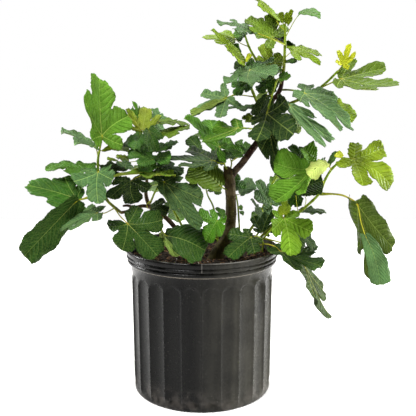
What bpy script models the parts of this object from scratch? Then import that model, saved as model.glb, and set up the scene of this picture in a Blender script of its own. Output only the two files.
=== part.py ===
"""A young fig tree in a black fluted nursery pot, as one solid for each separate piece.

Metres, +Z up. The origin is the middle of the pot's base, and the viewer stands on the -Y side.
Stems and leaves are placed as a viewer sees them: a place is (across, down, forward), where
across and down are picture units on a picture held up before the viewer, and forward is how far
the place lies in front of the pot's axis, in centimetres. sight() turns such a place into metres.
"""

from dataclasses import dataclass
from math import cos, pi, radians, sin

import bmesh
import bpy
import numpy as np
from mathutils.bvhtree import BVHTree

# The viewer of the places below
EYE_RIGHT = 0.010
EYE_BACK = 1.168
EYE_HEIGHT = 0.510
EYE_PITCH = radians(9.84)
PICTURE_DEPTH = 716.0
PICTURE_CENTRE = 208.0
CENTIMETRE = 0.01

# Pot: a three gallon blow-moulded nursery container
RIM_RADIUS = 0.1270
POT_HEIGHT = 0.2437
RIM_BOTTOM = 0.2195
NECK_BOTTOM = 0.2060
RIDGE_RADIUS_TOP = 0.1174
RIDGE_RADIUS_FOOT = 0.1152
FOOT_RADIUS = 0.1120
FOOT_HEIGHT = 0.0045
FLUTES = 24
FLUTE_DEPTH = 0.0026
FLUTE_COLUMNS = 3
WALL_TOP_RADIUS = 0.1128
WALL_FOOT_RADIUS = 0.1108
RIM_INSIDE_RADIUS = 0.1228
WALL_COLUMNS = 24
FLOOR_THICKNESS = 0.0030
DRAIN_HOLES = 6
DRAIN_RADIUS = 0.0065
DRAIN_CIRCLE = 0.0800

# Soil
SOIL_LEVEL = 0.2265
SOIL_ROUGHNESS = 0.0022
SOIL_RINGS = 4
FIT_GAP = 0.0006
ROOT_DEPTH = 0.0450

# Wood and leaves
WOOD_SIDES = 8
STEM_SIDES = 6
STALK_RADIUS = 0.0009
STALK_START = 0.006
STALK_NECK = 0.0018
BLADE_THICKNESS = 0.0008
JOIN_GAP = 0.0004
FINE_STEPS = 50
LARGE_LEAF = 0.072
TINY_LEAF = 0.040
DOME = 0.10
SHEET_HOLD = 4.0
SCRAP_CORNERS = 16

# How a stalk may leave its leaf: backwards, to the side it leans to, and sideways
NECKS = (
    (1, 1, 0), (1, -1, 0), (2, 2, 0), (2, -2, 0), (3, 0, 0), (1, 3, 0), (1, -3, 0), (2, 2, 2), (2, 2, -2),
    (2, -2, 2), (2, -2, -2), (4, 4, 0), (4, -4, 0), (2, 6, 0), (2, -6, 0), (3, 1, 4), (3, 1, -4), (6, 3, 0),
)


@dataclass(frozen=True)
class Form:
    """A flat leaf's outline. The midrib runs from the stalk at 0, 0 to the tip at 1, 0.

    lobes holds turn from the midrib in degrees, reach and half width, for the middle and then
    the right-hand ones; clefts lie between neighbours; heel leads round to the stalk's notch.
    """

    lobes: tuple
    clefts: tuple
    heel: tuple
    notch: float = -0.05


FORMS = {
    "five": Form(
        lobes=((0, 1.00, 0.250), (50, 0.84, 0.220), (104, 0.54, 0.150)),
        clefts=((25, 0.45), (77, 0.30)),
        heel=((150, 0.20),),
    ),
    "three": Form(
        lobes=((0, 1.00, 0.260), (52, 0.80, 0.225)),
        clefts=((27, 0.52),),
        heel=((105, 0.38),),
    ),
    "oval": Form(
        lobes=((0, 1.00, 0.320),),
        clefts=(),
        heel=((47, 0.42), (105, 0.17)),
    ),
}


@dataclass(frozen=True)
class Leaf:
    """A leaf: its stalk's end, the places its lobes reach, and the way its stalk takes."""

    form: str
    base: tuple
    reach: dict
    stalk: tuple = ()


@dataclass(frozen=True)
class Stem:
    """A stem's way, with its radius in millimetres at its start and at its end."""

    way: tuple
    radius: tuple


@dataclass(frozen=True)
class Shoot:
    """A leafy stem: its own stems, its leaves, and where it starts.

    start is soil, or the name of the wood that carries it followed by end or side.
    """

    stems: tuple
    leaves: tuple
    start: str = "soil"
    colour: tuple = (0.16, 0.33, 0.09)


TRUNK = (
    Stem(
        way=((213, 261, 2.2), (219, 252, 2.0), (226, 241, 1.5), (230, 228, 1.0), (231, 205, 1.0),
             (230, 185, 1.0), (228.5, 168, 1.0)),
        radius=(11.5, 12.5, 11.5, 9.2, 8.6, 8.6, 8.2),
    ),
    Stem(
        way=((231, 177, 1.0), (235, 171, 1.0), (242, 163, 1.0), (248, 155, 1.0), (258, 141, 0.8),
             (262, 130, 0.5), (267, 117, 0.0), (272, 101, -0.5), (277, 95.5, -0.5), (280.5, 88, -0.5),
             (282, 80, -0.5)),
        radius=(5.6, 5.5, 5.3, 5.3, 5.2, 4.9, 4.6, 4.4, 4.0, 3.6, 3.3),
    ),
)

LEFT_WOOD = (
    Stem(
        way=((198, 255, 0.6), (186, 245, 1.2), (176, 229, 1.8), (165, 217, 2.2), (155, 210.5, 2.4),
             (149, 205, 2.2), (146, 195, 1.6), (146.5, 185, 1.0), (147, 177, 0.6)),
        radius=(4.0, 4.0, 3.9, 3.7, 3.4, 3.2, 3.0, 2.7, 2.5),
    ),
    Stem(
        way=((150, 206.5, 2.3), (142, 206, 3.0), (133, 208.5, 3.6), (127, 211.5, 4.0), (121, 212.6, 4.4)),
        radius=(2.8, 2.8, 2.6, 2.5, 2.5),
    ),
    Stem(way=((134, 208, 3.5), (128, 205.5, 4.0), (123, 206, 4.4)), radius=(2.3, 2.2, 1.6)),
)

SHOOTS = {
    "left_shoot": Shoot(
        start="left_wood end",
        stems=(
            Stem(
                way=((121, 212.6, 4.4), (113, 206, 4.9), (107, 200, 5.4), (103, 190, 5.8),
                     (98.5, 172, 6.0), (98, 160, 6.0), (99.5, 150, 6.0)),
                radius=(2.5, 1.8),
            ),
        ),
        leaves=(
            Leaf("five", (102, 136, 7.0),
                 dict(tip=(96, 76, 5.0), left=(83, 94, 9.5), right=(129, 118, 4.5),
                      low_left=(94, 141, 9.5), low_right=(124, 143, 7.0)),
                 ((99.5, 152, 6.0), (101, 144, 6.5))),
            Leaf("three", (95, 147, 5.2),
                 dict(tip=(62, 133, 1.5), left=(74, 142, 8.0), right=(70, 131, -1.0)),
                 ((98.5, 157, 6.0),)),
            Leaf("five", (98, 172.5, 7.5),
                 dict(tip=(99, 205, 11.0), left=(113, 179, 9.5), right=(73, 180, 9.5), low_right=(82, 169, 8.6))),
            Leaf("three", (92, 169.5, 4.2),
                 dict(tip=(47, 169, 0.6), tip_left=(61, 176, 2.4), tip_right=(58, 163, -1.4),
                      left=(76, 174, 5.6), right=(77, 166.5, -0.6))),
            Leaf("five", (77, 199.5, 3.5),
                 dict(tip=(25, 185, 1.0), left=(58, 209, 6.0), right=(67, 177, 1.0), low_right=(80, 187, 1.5)),
                 ((103, 191, 5.6), (90, 196, 4.4))),
            Leaf("five", (75.5, 202, 8.0),
                 dict(tip=(24, 257, 11.5), tip_left=(54, 247, 8.0), tip_right=(20, 233, 12.0),
                      left=(61, 222, 4.5), right=(40, 217, 11.0), low_left=(73, 208, 4.5), low_right=(64, 203, 9.0)),
                 ((104, 194, 5.8), (90, 197.5, 7.0))),
            Leaf("five", (97, 213, 7.5),
                 dict(tip=(62, 229, 10.5), left=(71, 230.5, 13.0), right=(86, 208, 6.0), low_right=(102, 206, 5.6)),
                 ((115, 208, 4.8), (105, 213, 6.6))),
            Leaf("five", (128, 224, 8.5),
                 dict(tip=(157, 256, 11.5), left=(163, 219, 9.5), right=(122, 250, 12.5),
                      low_left=(137, 205, 6.8), low_right=(108, 225, 7.0)),
                 ((113, 207, 5.0), (120, 216, 6.8))),
            Leaf("three", (102, 171.5, 5.2),
                 dict(tip=(131, 166, 0.5), left=(114, 163, 0.0), right=(112, 179, 4.5))),
            Leaf("oval", (103, 150.5, 5.2),
                 dict(tip=(115, 145, 5.6), left=(108, 145.5, 5.2), right=(110, 149.5, 4.6))),
            Leaf("five", (105, 129, 3.5),
                 dict(tip=(108, 134, -5.5), left=(94, 132, -1.5), right=(122, 131, -2.5),
                      low_left=(98, 128, 3.0), low_right=(115, 127, 2.5)),
                 ((98.5, 155, 6.0), (101, 142, 4.5))),
        ),
    ),
    "left_middle": Shoot(
        start="left_wood end",
        stems=(
            Stem(
                way=((147, 177, 0.6), (146.7, 168, 0.3), (143.5, 152, 0.0), (142.5, 142, 0.0), (141, 131, 0.0)),
                radius=(2.5, 1.7),
            ),
        ),
        leaves=(
            Leaf("five", (131, 181, 3.0),
                 dict(tip=(136, 203, 4.6), left=(148, 190, 3.0), right=(109, 199, 6.5),
                      low_left=(150, 177, 1.0), low_right=(113, 181, 4.5)),
                 ((147, 172, 0.5), (140, 176, 2.2))),
            Leaf("three", (168, 175, 7.0),
                 dict(tip=(114, 177, 9.5), left=(143, 177, 12.5), right=(140, 171.5, 6.5)),
                 ((147, 172, 0.5), (158, 174, 5.0))),
            Leaf("oval", (142, 127.5, 0.6),
                 dict(tip=(144, 110.5, -2.5), left=(158.5, 116, 1.5), right=(130, 114, 1.0))),
            Leaf("oval", (138, 119, -1.0),
                 dict(tip=(132.5, 101.5, -3.0), left=(131, 109, -1.0), right=(140, 107, -3.0)),
                 ((141, 132, 0.0), (140, 125, -0.8))),
            Leaf("oval", (134, 120, 3.5),
                 dict(tip=(127, 109, 4.5), left=(128.5, 114.5, 5.0), right=(132, 113, 3.8)),
                 ((138.5, 128, 2.6),)),
            Leaf("oval", (151, 117, -1.5),
                 dict(tip=(142, 108, -3.0), left=(145, 112.5, -2.0), right=(148, 110.5, -3.0)),
                 ((141.5, 133, 0.0), (148, 124, -1.0))),
            Leaf("three", (158, 122, -5.5),
                 dict(tip=(154, 108.5, -8.0), left=(149, 115, -6.0), right=(164.5, 116, -8.0)),
                 ((142, 136, 0.0), (152, 131, -4.0))),
            Leaf("three", (159, 121.5, -0.8),
                 dict(tip=(188, 125.5, -0.2), left=(174, 120, -4.0), right=(172, 125, 2.5)),
                 ((142, 137, 0.0), (151, 131, 1.0))),
            Leaf("three", (163, 132.5, 0.8),
                 dict(tip=(190, 126.5, 2.0), left=(177, 127, -2.0), right=(176, 136, 4.5)),
                 ((142.3, 139, 0.0), (152, 136, 1.6))),
            Leaf("three", (163, 132, -4.0),
                 dict(tip=(149, 127.5, -3.0), left=(156, 132, -2.0), right=(157, 120.5, -6.0)),
                 ((142.5, 140, 0.0), (153, 136.5, -2.6))),
            Leaf("three", (149, 131, 3.6),
                 dict(tip=(157, 152, 7.5), left=(163, 139, 6.5), right=(146, 147, 8.0)),
                 ((142.3, 140, 0.0), (145.5, 135.5, 2.4))),
            Leaf("three", (158, 151, 0.0),
                 dict(tip=(178, 142.5, -3.0), left=(165, 143, -4.0), right=(171, 149, 1.5)),
                 ((143.5, 152, 0.0), (151, 152, 0.0))),
            Leaf("oval", (140, 134, 1.5),
                 dict(tip=(134, 150.5, 7.0), left=(143, 143, 6.0), right=(133, 139, 3.5))),
            Leaf("oval", (135, 148, -1.0),
                 dict(tip=(126.5, 141, -1.0), left=(127, 146.5, 1.0), right=(133, 138, -2.5)),
                 ((143.3, 152, 0.0), (139, 150.5, -1.6))),
            Leaf("three", (148.5, 143, 0.9),
                 dict(tip=(131, 157, 3.5), left=(149, 155.5, 4.5), right=(131, 144.5, 0.8)),
                 ((142.7, 147, 0.0), (147, 144.5, 0.4))),
            Leaf("oval", (117, 157, 3.5),
                 dict(tip=(129, 159.5, 5.0), left=(123, 156, 4.0), right=(123, 161, 5.5)),
                 ((144, 154, 0.1), (130, 157, 1.8))),
            Leaf("oval", (128, 150, 0.0),
                 dict(tip=(110, 146, -1.0), left=(118, 150.5, 2.0), right=(119, 143, -3.0)),
                 ((143, 148, 0.0),)),
            Leaf("oval", (117, 161, 3.0),
                 dict(tip=(107, 158.5, 3.0), left=(112, 161, 4.5), right=(112, 158.6, 2.0)),
                 ((145, 160, 0.2), (130, 162, 1.5))),
            Leaf("three", (153, 160, 6.5),
                 dict(tip=(128, 155, 9.0), left=(138, 165, 12.0), right=(143, 151, 6.5)),
                 ((147, 169, 0.4), (151, 166, 4.0))),
            Leaf("oval", (154, 160, 4.5),
                 dict(tip=(171, 158.5, 6.5), left=(163, 152.5, 2.6), right=(161, 163, 7.5)),
                 ((146.6, 166, 0.4), (151.5, 163.5, 2.6))),
            Leaf("oval", (156, 165, 5.0),
                 dict(tip=(138, 169, 8.0), left=(149, 173, 8.5), right=(147, 163, 4.6)),
                 ((146.8, 168, 0.4), (153, 168, 3.0))),
            Leaf("three", (158, 168, 1.4),
                 dict(tip=(184, 173, 1.0), left=(171, 162, -2.0), right=(164, 177, 2.2)),
                 ((147, 171, 0.5), (152, 170, 1.0))),
            Leaf("three", (125, 167, 4.5),
                 dict(tip=(128, 160.5, 8.5), left=(118, 161, 5.0), right=(133, 166, 4.5)),
                 ((146.5, 168, 0.3), (136, 168.5, 2.6))),
            Leaf("five", (149, 166, -3.0),
                 dict(tip=(146, 172, -12.0), left=(131, 171, -8.0), right=(165, 169, -8.0),
                      low_left=(134, 166, -2.5), low_right=(162, 165, -2.5)),
                 ((146.5, 167, 0.3),)),
        ),
    ),
    "left_inner": Shoot(
        start="left_wood side",
        stems=(
            Stem(way=((149, 205, 2.2), (152, 199, 3.4), (154.5, 193, 4.0), (159, 186, 4.6)), radius=(1.8, 1.3)),
        ),
        leaves=(
            Leaf("five", (164, 182, 6.6),
                 dict(tip=(198, 232, 12.5), left=(202, 199, 8.5), right=(172, 206, 10.5), low_left=(182, 176, 4.8))),
            Leaf("three", (151, 209, 4.8),
                 dict(tip=(168, 212.5, 6.5), left=(165, 200, 4.4), right=(157, 218, 8.0)),
                 ((151.5, 200, 3.2), (147, 204, 4.4), (148, 208.5, 4.8))),
        ),
    ),
    "left_low": Shoot(
        start="left_wood side",
        stems=(
            Stem(way=((163.5, 216, 2.2), (160.5, 223, 4.0), (162, 231, 5.5)), radius=(1.7, 1.3)),
        ),
        leaves=(
            Leaf("five", (167, 236, 6.5),
                 dict(tip=(206, 254, 10.5), left=(183, 221, 4.2), right=(202, 262.5, 13.6), low_left=(171, 227, 4.6))),
            Leaf("oval", (162, 234, 8.6),
                 dict(tip=(177.5, 256, 12.4), left=(173, 245, 12.0), right=(167, 247, 11.0))),
        ),
    ),
    "centre": Shoot(
        stems=(
            Stem(way=((218, 250, -3.0), (217.5, 235, -3.0), (216, 220, -2.6), (213, 206, -2.2), (208, 196, -2.0),
                      (206, 189, -1.8)), radius=(1.8, 1.1)),
        ),
        leaves=(
            Leaf("five", (217, 221, 5.5),
                 dict(tip=(206, 241, 10.5), left=(222, 235, 8.5), right=(199, 212, 8.0),
                      low_left=(227, 217, 4.0), low_right=(210, 210, 4.5)),
                 ((217.8, 240, -3.0), (213, 236, 0.0), (213, 227, 3.5))),
            Leaf("three", (213, 187, -0.5),
                 dict(tip=(219, 195, 1.0), left=(222, 188, -0.8), right=(210, 192, 1.2)),
                 ((207, 192, -1.9), (210, 188, -1.2))),
            Leaf("three", (222.5, 217, -4.0),
                 dict(tip=(215.5, 208, -2.8), left=(217, 214, -2.2), right=(223, 209, -4.0))),
        ),
    ),
    "trunk_leaf": Shoot(
        start="trunk side",
        stems=(
            Stem(way=((230, 190, 1.0), (225, 189, 1.8), (221.5, 187, 2.8)), radius=(1.4, 1.2)),
        ),
        leaves=(
            Leaf("oval", (220, 186, 3.2),
                 dict(tip=(191, 165.5, 3.0), left=(199, 184, 6.5), right=(212.5, 161, -0.5))),
        ),
    ),
    "behind_trunk": Shoot(
        stems=(
            Stem(way=((240, 244, -4.0), (239.5, 230, -3.8), (238.5, 214, -3.4), (237.8, 205, -3.2),
                      (236, 195, -3.2)), radius=(1.9, 1.2)),
        ),
        leaves=(
            Leaf("oval", (240.5, 193.5, -3.6),
                 dict(tip=(255, 183.5, -6.0), left=(243, 182, -7.5), right=(249, 191.5, -2.0))),
            Leaf("three", (234, 186, -3.4),
                 dict(tip=(246.5, 187.5, -3.5), left=(238, 173.5, -5.5), right=(237, 190, -2.0))),
            Leaf("oval", (228, 187, -3.0),
                 dict(tip=(221.5, 175, -4.0), left=(221.5, 183, -2.6), right=(228, 178, -4.5))),
            Leaf("oval", (239.6, 208, -2.6),
                 dict(tip=(243, 207, -1.0), left=(240, 206, -2.4), right=(241, 210, -1.2))),
            Leaf("oval", (239.8, 212, -3.2),
                 dict(tip=(244, 213.5, -3.6), left=(242, 211.2, -4.2), right=(241.5, 214.5, -3.0))),
        ),
    ),
    "cut_left": Shoot(
        start="trunk side",
        stems=(
            Stem(way=((228.5, 171, 1.0), (225, 166, 2.4), (224, 161, 3.0), (221.5, 153, 3.6)), radius=(1.4, 1.2)),
        ),
        leaves=(
            Leaf("five", (219.5, 147, 3.6),
                 dict(tip=(184, 118, 4.5), left=(203, 139, 7.5), right=(210, 121, -1.5), low_right=(232.5, 141, -1.5))),
            Leaf("five", (212, 160.5, 1.8),
                 dict(tip=(167, 158, 2.0), left=(180, 164, 7.5), right=(187, 150.5, -3.0),
                      low_left=(204, 171, 5.6), low_right=(215, 144.5, -4.0)),
                 ((224, 163, 2.6), (219, 163, 2.4))),
            Leaf("oval", (222.5, 164, 0.8),
                 dict(tip=(211.5, 158.5, -1.2), left=(217, 163.5, 0.2), right=(218.5, 156.5, -1.8)),
                 ((224, 163, 2.6),)),
            Leaf("oval", (199.5, 149, -6.0),
                 dict(tip=(189, 137, -7.0), left=(190, 147, -5.5), right=(198.5, 141, -7.5)),
                 ((224.6, 164.5, 2.7), (216, 160, -3.0), (208, 154, -7.0))),
            Leaf("five", (212, 135, -6.5),
                 dict(tip=(204, 140, -14.0), left=(194, 137, -10.5), right=(222, 140, -11.0),
                      low_left=(200, 132, -6.0), low_right=(222, 134, -6.5)),
                 ((223, 157, 3.3), (216.5, 146, -1.5), (213, 138, -4.6))),
        ),
    ),
    "cut_right": Shoot(
        start="trunk side",
        stems=(
            Stem(way=((229.5, 172, 1.0), (231.5, 164.5, -0.6), (231, 160, -1.0)), radius=(1.4, 1.1)),
        ),
        leaves=(
            Leaf("three", (242.5, 152.5, 2.6),
                 dict(tip=(225, 149.5, 4.5), left=(234, 155.5, 7.0), right=(238, 140.5, 0.5)),
                 ((231.3, 162, -0.8), (234, 160, 0.8))),
            Leaf("three", (229.5, 158, -1.6),
                 dict(tip=(225, 143, -3.0), left=(222, 153, -1.8), right=(238, 152, -3.0))),
            Leaf("oval", (243, 153, -1.5),
                 dict(tip=(251, 145, -3.0), left=(243, 145.5, -4.0), right=(249, 151, -1.0)),
                 ((231.2, 161, -1.0), (237, 157, -1.4))),
        ),
    ),
    "front_leaf": Shoot(
        start="trunk side",
        stems=(
            Stem(way=((281, 84, -0.5), (278, 79, 1.5), (274.5, 88, 3.2), (271, 99, 3.8), (268, 108, 3.9)),
                 radius=(1.6, 1.4)),
        ),
        leaves=(
            Leaf("five", (267, 113.5, 4.0),
                 dict(tip=(295, 135, 9.0), left=(285, 98, 3.2), right=(255, 141, 9.0),
                      low_left=(271, 99, 2.6), low_right=(250, 121, 5.6))),
            Leaf("oval", (267, 96, 4.8),
                 dict(tip=(258, 116, 5.4), left=(266.5, 108, 5.6), right=(254.5, 106, 4.6)),
                 ((272, 96, 3.6),)),
        ),
    ),
    "fork": Shoot(
        start="trunk side",
        stems=(
            Stem(way=((263, 127, 0.4), (258, 128.5, 2.0), (250, 128.8, 4.0)), radius=(1.5, 1.2)),
        ),
        leaves=(
            Leaf("five", (238, 128, 6.5),
                 dict(tip=(203, 141, 10.0), left=(214, 125.5, 6.5), right=(214, 139.0, 12.0), low_left=(233.5, 119, 4.0)),
                 ((251, 128.8, 3.8),)),
            Leaf("three", (252, 119.5, 2.6),
                 dict(tip=(242, 118.5, 3.2), left=(246, 122, 5.0), right=(247, 113.5, 1.2)),
                 ((255, 128.6, 2.7),)),
        ),
    ),
    "droop": Shoot(
        start="trunk side",
        stems=(
            Stem(way=((264.5, 123, 0.2), (268, 124, 1.6), (270, 128, 2.0)), radius=(1.6, 1.3)),
        ),
        leaves=(
            Leaf("three", (270, 132, 2.6),
                 dict(tip=(284, 179, 1.6), left=(282, 158, 3.6), right=(260, 151, 2.0))),
            Leaf("five", (273, 131, -4.0),
                 dict(tip=(278, 140, -12.5), left=(262, 138, -8.0), right=(292, 135, -9.0),
                      low_left=(265, 131, -3.0), low_right=(286, 127, -4.0)),
                 ((268.5, 124.5, 1.7), (273.5, 125, 0.4), (274, 128, -2.6))),
            Leaf("oval", (286, 127.5, 1.0),
                 dict(tip=(301, 128, 0.0), left=(295, 121.5, -1.2), right=(294, 131.5, 1.6)),
                 ((268, 124, 1.6), (276, 126, 1.6))),
        ),
    ),
    "stem_a": Shoot(
        start="trunk side",
        stems=(
            Stem(way=((267, 118, 0.1), (263, 113, 0.8), (258, 104, 1.5), (252, 90, 2.2), (248, 80, 2.5),
                      (244.5, 70, 2.5), (244, 62, 2.5)), radius=(2.8, 1.6)),
        ),
        leaves=(
            Leaf("three", (241.5, 61, 3.8),
                 dict(tip=(211, 30, 6.0), left=(226.5, 50, 7.5), right=(231, 43.5, 2.0)),
                 ((244.4, 69, 2.5), (244, 65, 3.6))),
            Leaf("oval", (240.5, 60, 0.6),
                 dict(tip=(233, 44.5, -1.0), left=(234, 53, 0.0), right=(239.5, 51, -1.5)),
                 ((244, 65, 2.5),)),
            Leaf("oval", (243, 69, 2.0),
                 dict(tip=(234, 66, 1.0), left=(238, 69.5, 1.8), right=(239, 63, 0.2))),
            Leaf("oval", (246, 61.5, 1.8),
                 dict(tip=(251, 54, 1.4), left=(247, 56, 0.8), right=(250, 58.5, 1.8))),
            Leaf("oval", (246, 68, 1.8),
                 dict(tip=(255, 64, 0.5), left=(249, 60.5, 0.0), right=(251, 68.5, 2.2))),
            Leaf("five", (250, 70, 4.5),
                 dict(tip=(254, 84, 11.0), left=(272, 77, 7.5), right=(227, 84, 8.0),
                      low_left=(276, 59, 2.0), low_right=(233, 73, 3.5)),
                 ((247, 77, 2.5), (249, 73, 3.4))),
            Leaf("three", (248, 82, 2.6),
                 dict(tip=(237, 96, 5.0), left=(248, 92, 5.0), right=(231, 86, 2.6))),
            Leaf("five", (226, 98, 3.0),
                 dict(tip=(190, 113.5, 5.0), left=(220.5, 117, 7.5), right=(203, 94, 0.5), low_right=(223, 82.5, 0.0)),
                 ((255, 97, 1.9), (240, 95, 2.2), (231, 96, 2.7))),
            Leaf("three", (254, 108, 0.6),
                 dict(tip=(228, 109.5, -3.0), left=(240, 110.5, 3.0), right=(240, 106.5, -6.0)),
                 ((261, 110, 1.0),)),
        ),
    ),
    "stem_b": Shoot(
        start="trunk side",
        stems=(
            Stem(way=((272.5, 99.5, -0.5), (268, 88, -1.4), (262, 75, -2.0), (257, 62, -2.2), (250, 49, -2.0),
                      (246.5, 40, -1.8), (245, 35, -1.8)), radius=(2.6, 1.5)),
        ),
        leaves=(
            Leaf("five", (234, 39, -1.0),
                 dict(tip=(202, 37, 0.5), left=(218, 43, 2.0), right=(222, 32.5, -4.0),
                      low_left=(230, 45, 0.5), low_right=(234.5, 31.5, -3.0)),
                 ((248.5, 47, -2.0), (241, 43.5, -1.5))),
            Leaf("oval", (246, 32, -2.0),
                 dict(tip=(236, 39, -1.0), left=(243, 37.5, 0.0), right=(238, 30.5, -3.0))),
            Leaf("three", (274, 79, -0.8),
                 dict(tip=(258, 92, 0.4), left=(271, 93.5, 0.0), right=(258, 81, -2.6)),
                 ((262, 75, -2.0), (268, 73.5, -1.7), (273.5, 75.5, -1.2))),
            Leaf("five", (262, 71, -6.0),
                 dict(tip=(258, 78, -14.0), left=(244, 77, -10.0), right=(275, 74, -10.5),
                      low_left=(250, 70, -5.5), low_right=(272, 69, -6.0)),
                 ((259, 67, -2.1), (261, 69, -4.0))),
            Leaf("oval", (266, 92, -1.6),
                 dict(tip=(260, 102.5, -2.0), left=(265, 99, -1.0), right=(258.5, 95, -3.0)),
                 ((269, 91, -1.2),)),
        ),
    ),
    "top": Shoot(
        start="trunk end",
        stems=(
            Stem(way=((282, 80, -0.5), (283.2, 73, -0.5), (284.2, 64, -0.4), (284.8, 50, -0.2), (285.2, 36, 0.0),
                      (285, 24, 0.0)), radius=(3.3, 1.6)),
        ),
        leaves=(
            Leaf("three", (275, 19, -1.4),
                 dict(tip=(254.5, -0.5, -5.0), left=(257, 5, 0.5), right=(267, 6, -6.0)),
                 ((285, 31, 0.0), (280, 26, -0.6))),
            Leaf("five", (273, 37, 1.0),
                 dict(tip=(246, 19.5, 1.0), left=(250, 29, 6.0), right=(271, 15, -4.0), low_right=(288, 24, -3.0)),
                 ((285, 44, 0.0), (278, 40.5, 0.5))),
            Leaf("three", (251, 31, 3.0),
                 dict(tip=(217, 23.5, 1.0), left=(234, 31, 6.0), right=(231, 20, -2.0)),
                 ((285, 45, 0.0), (273, 39.5, 4.0), (262, 35, 4.0))),
            Leaf("oval", (284, 42, -0.6),
                 dict(tip=(276, 36, -2.4), left=(279, 41, -1.0), right=(283, 33, -3.0))),
            Leaf("oval", (282.5, 22.5, 0.8),
                 dict(tip=(281, 12, 0.5), left=(279, 18, 1.0), right=(283, 17, -0.2))),
            Leaf("three", (287, 23, -0.4),
                 dict(tip=(293, 10.5, 1.0), left=(286, 12.5, -0.5), right=(292.5, 18.5, 1.8))),
            Leaf("oval", (287, 41, -0.8),
                 dict(tip=(293.5, 48, -3.0), left=(292.5, 43, -1.6), right=(288, 46.5, -2.4))),
            Leaf("five", (294.5, 50, 1.2),
                 dict(tip=(320, 54.5, 2.0), left=(311, 49.5, -3.0), right=(321, 64, 5.0), low_right=(299, 61, 4.2)),
                 ((284.6, 58, -0.3), (290, 53, 0.6))),
            Leaf("oval", (286, 62, -0.2),
                 dict(tip=(297, 60, 1.4), left=(291, 59.5, 0.0), right=(292, 63.5, 1.4))),
            Leaf("oval", (299, 15, 1.2),
                 dict(tip=(321, 19, 3.6), mid=(308, 11, 1.6), right=(307, 14, 5.0), left=(309, 8.6, -1.5)),
                 ((285.2, 38, 0.0), (291, 27, 0.6), (295, 20, 1.0))),
            Leaf("three", (272, 68, -0.6),
                 dict(tip=(263, 43.5, -4.0), left=(280.5, 54, -3.0), right=(256, 59, -4.5)),
                 ((284, 70, -0.4), (279, 72.5, -0.6), (274, 71.5, -0.7))),
            Leaf("oval", (282, 73, 0.4),
                 dict(tip=(286.5, 80, 2.4), left=(288, 75, 1.0), right=(279.5, 79, 2.2))),
            Leaf("oval", (281, 69, 0.2),
                 dict(tip=(272, 72, 1.6), left=(277, 74, 2.2), right=(275, 68, 0.4))),
        ),
    ),
    "right_mid": Shoot(
        start="trunk side",
        stems=(
            Stem(way=((281, 90, -0.5), (287, 89.8, 0.6), (295, 90.6, 1.4), (301, 92.2, 1.6)), radius=(1.6, 1.3)),
        ),
        leaves=(
            Leaf("five", (305, 93.5, 1.8),
                 dict(tip=(350, 127, 7.0), left=(335, 96, 0.5), right=(342, 132, 11.5), low_left=(310, 87, -1.0))),
        ),
    ),
    "right_upper": Shoot(
        start="trunk side",
        stems=(
            Stem(way=((271, 105.5, -0.4), (278, 107, -1.0), (287, 104.5, -1.4), (297, 100.5, -1.6), (305, 97, -1.6),
                      (316, 91, -1.2), (328, 81, -0.6), (338, 71, 0.0)), radius=(2.9, 1.9)),
        ),
        leaves=(
            Leaf("five", (289.5, 105, 0.4),
                 dict(tip=(322, 146, 8.0), left=(331, 141, 4.0), right=(299, 123, 7.5), low_left=(320, 119, 0.4),
                      low_right=(289, 107, 4.2))),
            Leaf("five", (342, 79, 1.2),
                 dict(tip=(398, 86, 3.5), tip_left=(378, 74, 0.5), tip_right=(382, 92, 5.0),
                      left=(385, 69, -4.5), right=(372, 87, 9.0), low_left=(359, 55, -4.0), low_right=(344, 87, 6.0)),
                 ((320, 88, -1.0), (330, 83.5, 0.2))),
            Leaf("five", (343, 64, 0.4),
                 dict(tip=(349, 44, -0.5), left=(338, 51, 0.8), right=(356, 52, 0.2), low_left=(336, 59, 1.6))),
        ),
    ),
    "right_lower": Shoot(
        stems=(
            Stem(way=((249, 247, -5.0), (258, 239.5, -4.0), (272, 227, -1.4), (285, 220.5, 0.2), (298, 213, 1.2),
                      (310, 203, 1.8), (319.5, 193, 2.2), (325, 180, 2.5), (331, 170, 2.8), (337, 164, 3.0),
                      (343.5, 158, 3.2)), radius=(2.6, 1.8)),
        ),
        leaves=(
            Leaf("five", (313, 167.5, 5.4),
                 dict(tip=(274, 201, 9.5), left=(304, 192, 10.5), right=(273, 161.5, 6.4),
                      low_right=(304, 144, 3.0), low_left=(322, 160, 4.0)),
                 ((323, 183, 2.4), (319, 176, 4.0))),
            Leaf("oval", (297.5, 191, 3.6),
                 dict(tip=(322.5, 181, 4.6), left=(309, 176, 2.6), right=(312, 194, 6.2)),
                 ((298, 213, 1.2), (296.5, 202, 2.2))),
            Leaf("three", (301, 158, -0.6),
                 dict(tip=(290, 146, -1.6), left=(288, 154, -0.4), right=(302, 147, -2.2)),
                 ((322, 188, 2.3), (318, 176, 0.4), (312, 166, -0.8))),
            Leaf("oval", (326.5, 163.5, 5.2),
                 dict(tip=(309, 177, 8.0), left=(322, 172.5, 8.5), right=(313, 163, 5.0)),
                 ((330.5, 171, 2.8), (330, 167, 4.2))),
            Leaf("oval", (329, 166, 3.6),
                 dict(tip=(339, 153, 1.5), left=(331, 157, 1.2), right=(336, 159.5, 3.2))),
            Leaf("five", (353.5, 159, 4.4),
                 dict(tip=(391, 186, 7.0), left=(384, 146.5, 1.5), right=(363, 184, 9.0),
                      low_left=(355, 143.5, 1.2), low_right=(338, 166, 6.0))),
            Leaf("oval", (342, 157, 4.2),
                 dict(tip=(336, 153.5, 4.4), left=(337, 157, 5.4), right=(341, 152.5, 3.6))),
            Leaf("five", (358, 205.5, 5.2),
                 dict(tip=(394, 252, 6.0), left=(379, 284, 8.0), right=(390, 221, 3.0), low_right=(362, 193, 2.0)),
                 ((321, 194.5, 2.4), (332, 193.8, 3.4), (342, 195, 4.0), (351, 199, 4.6))),
            Leaf("three", (301, 211, -1.2),
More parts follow.
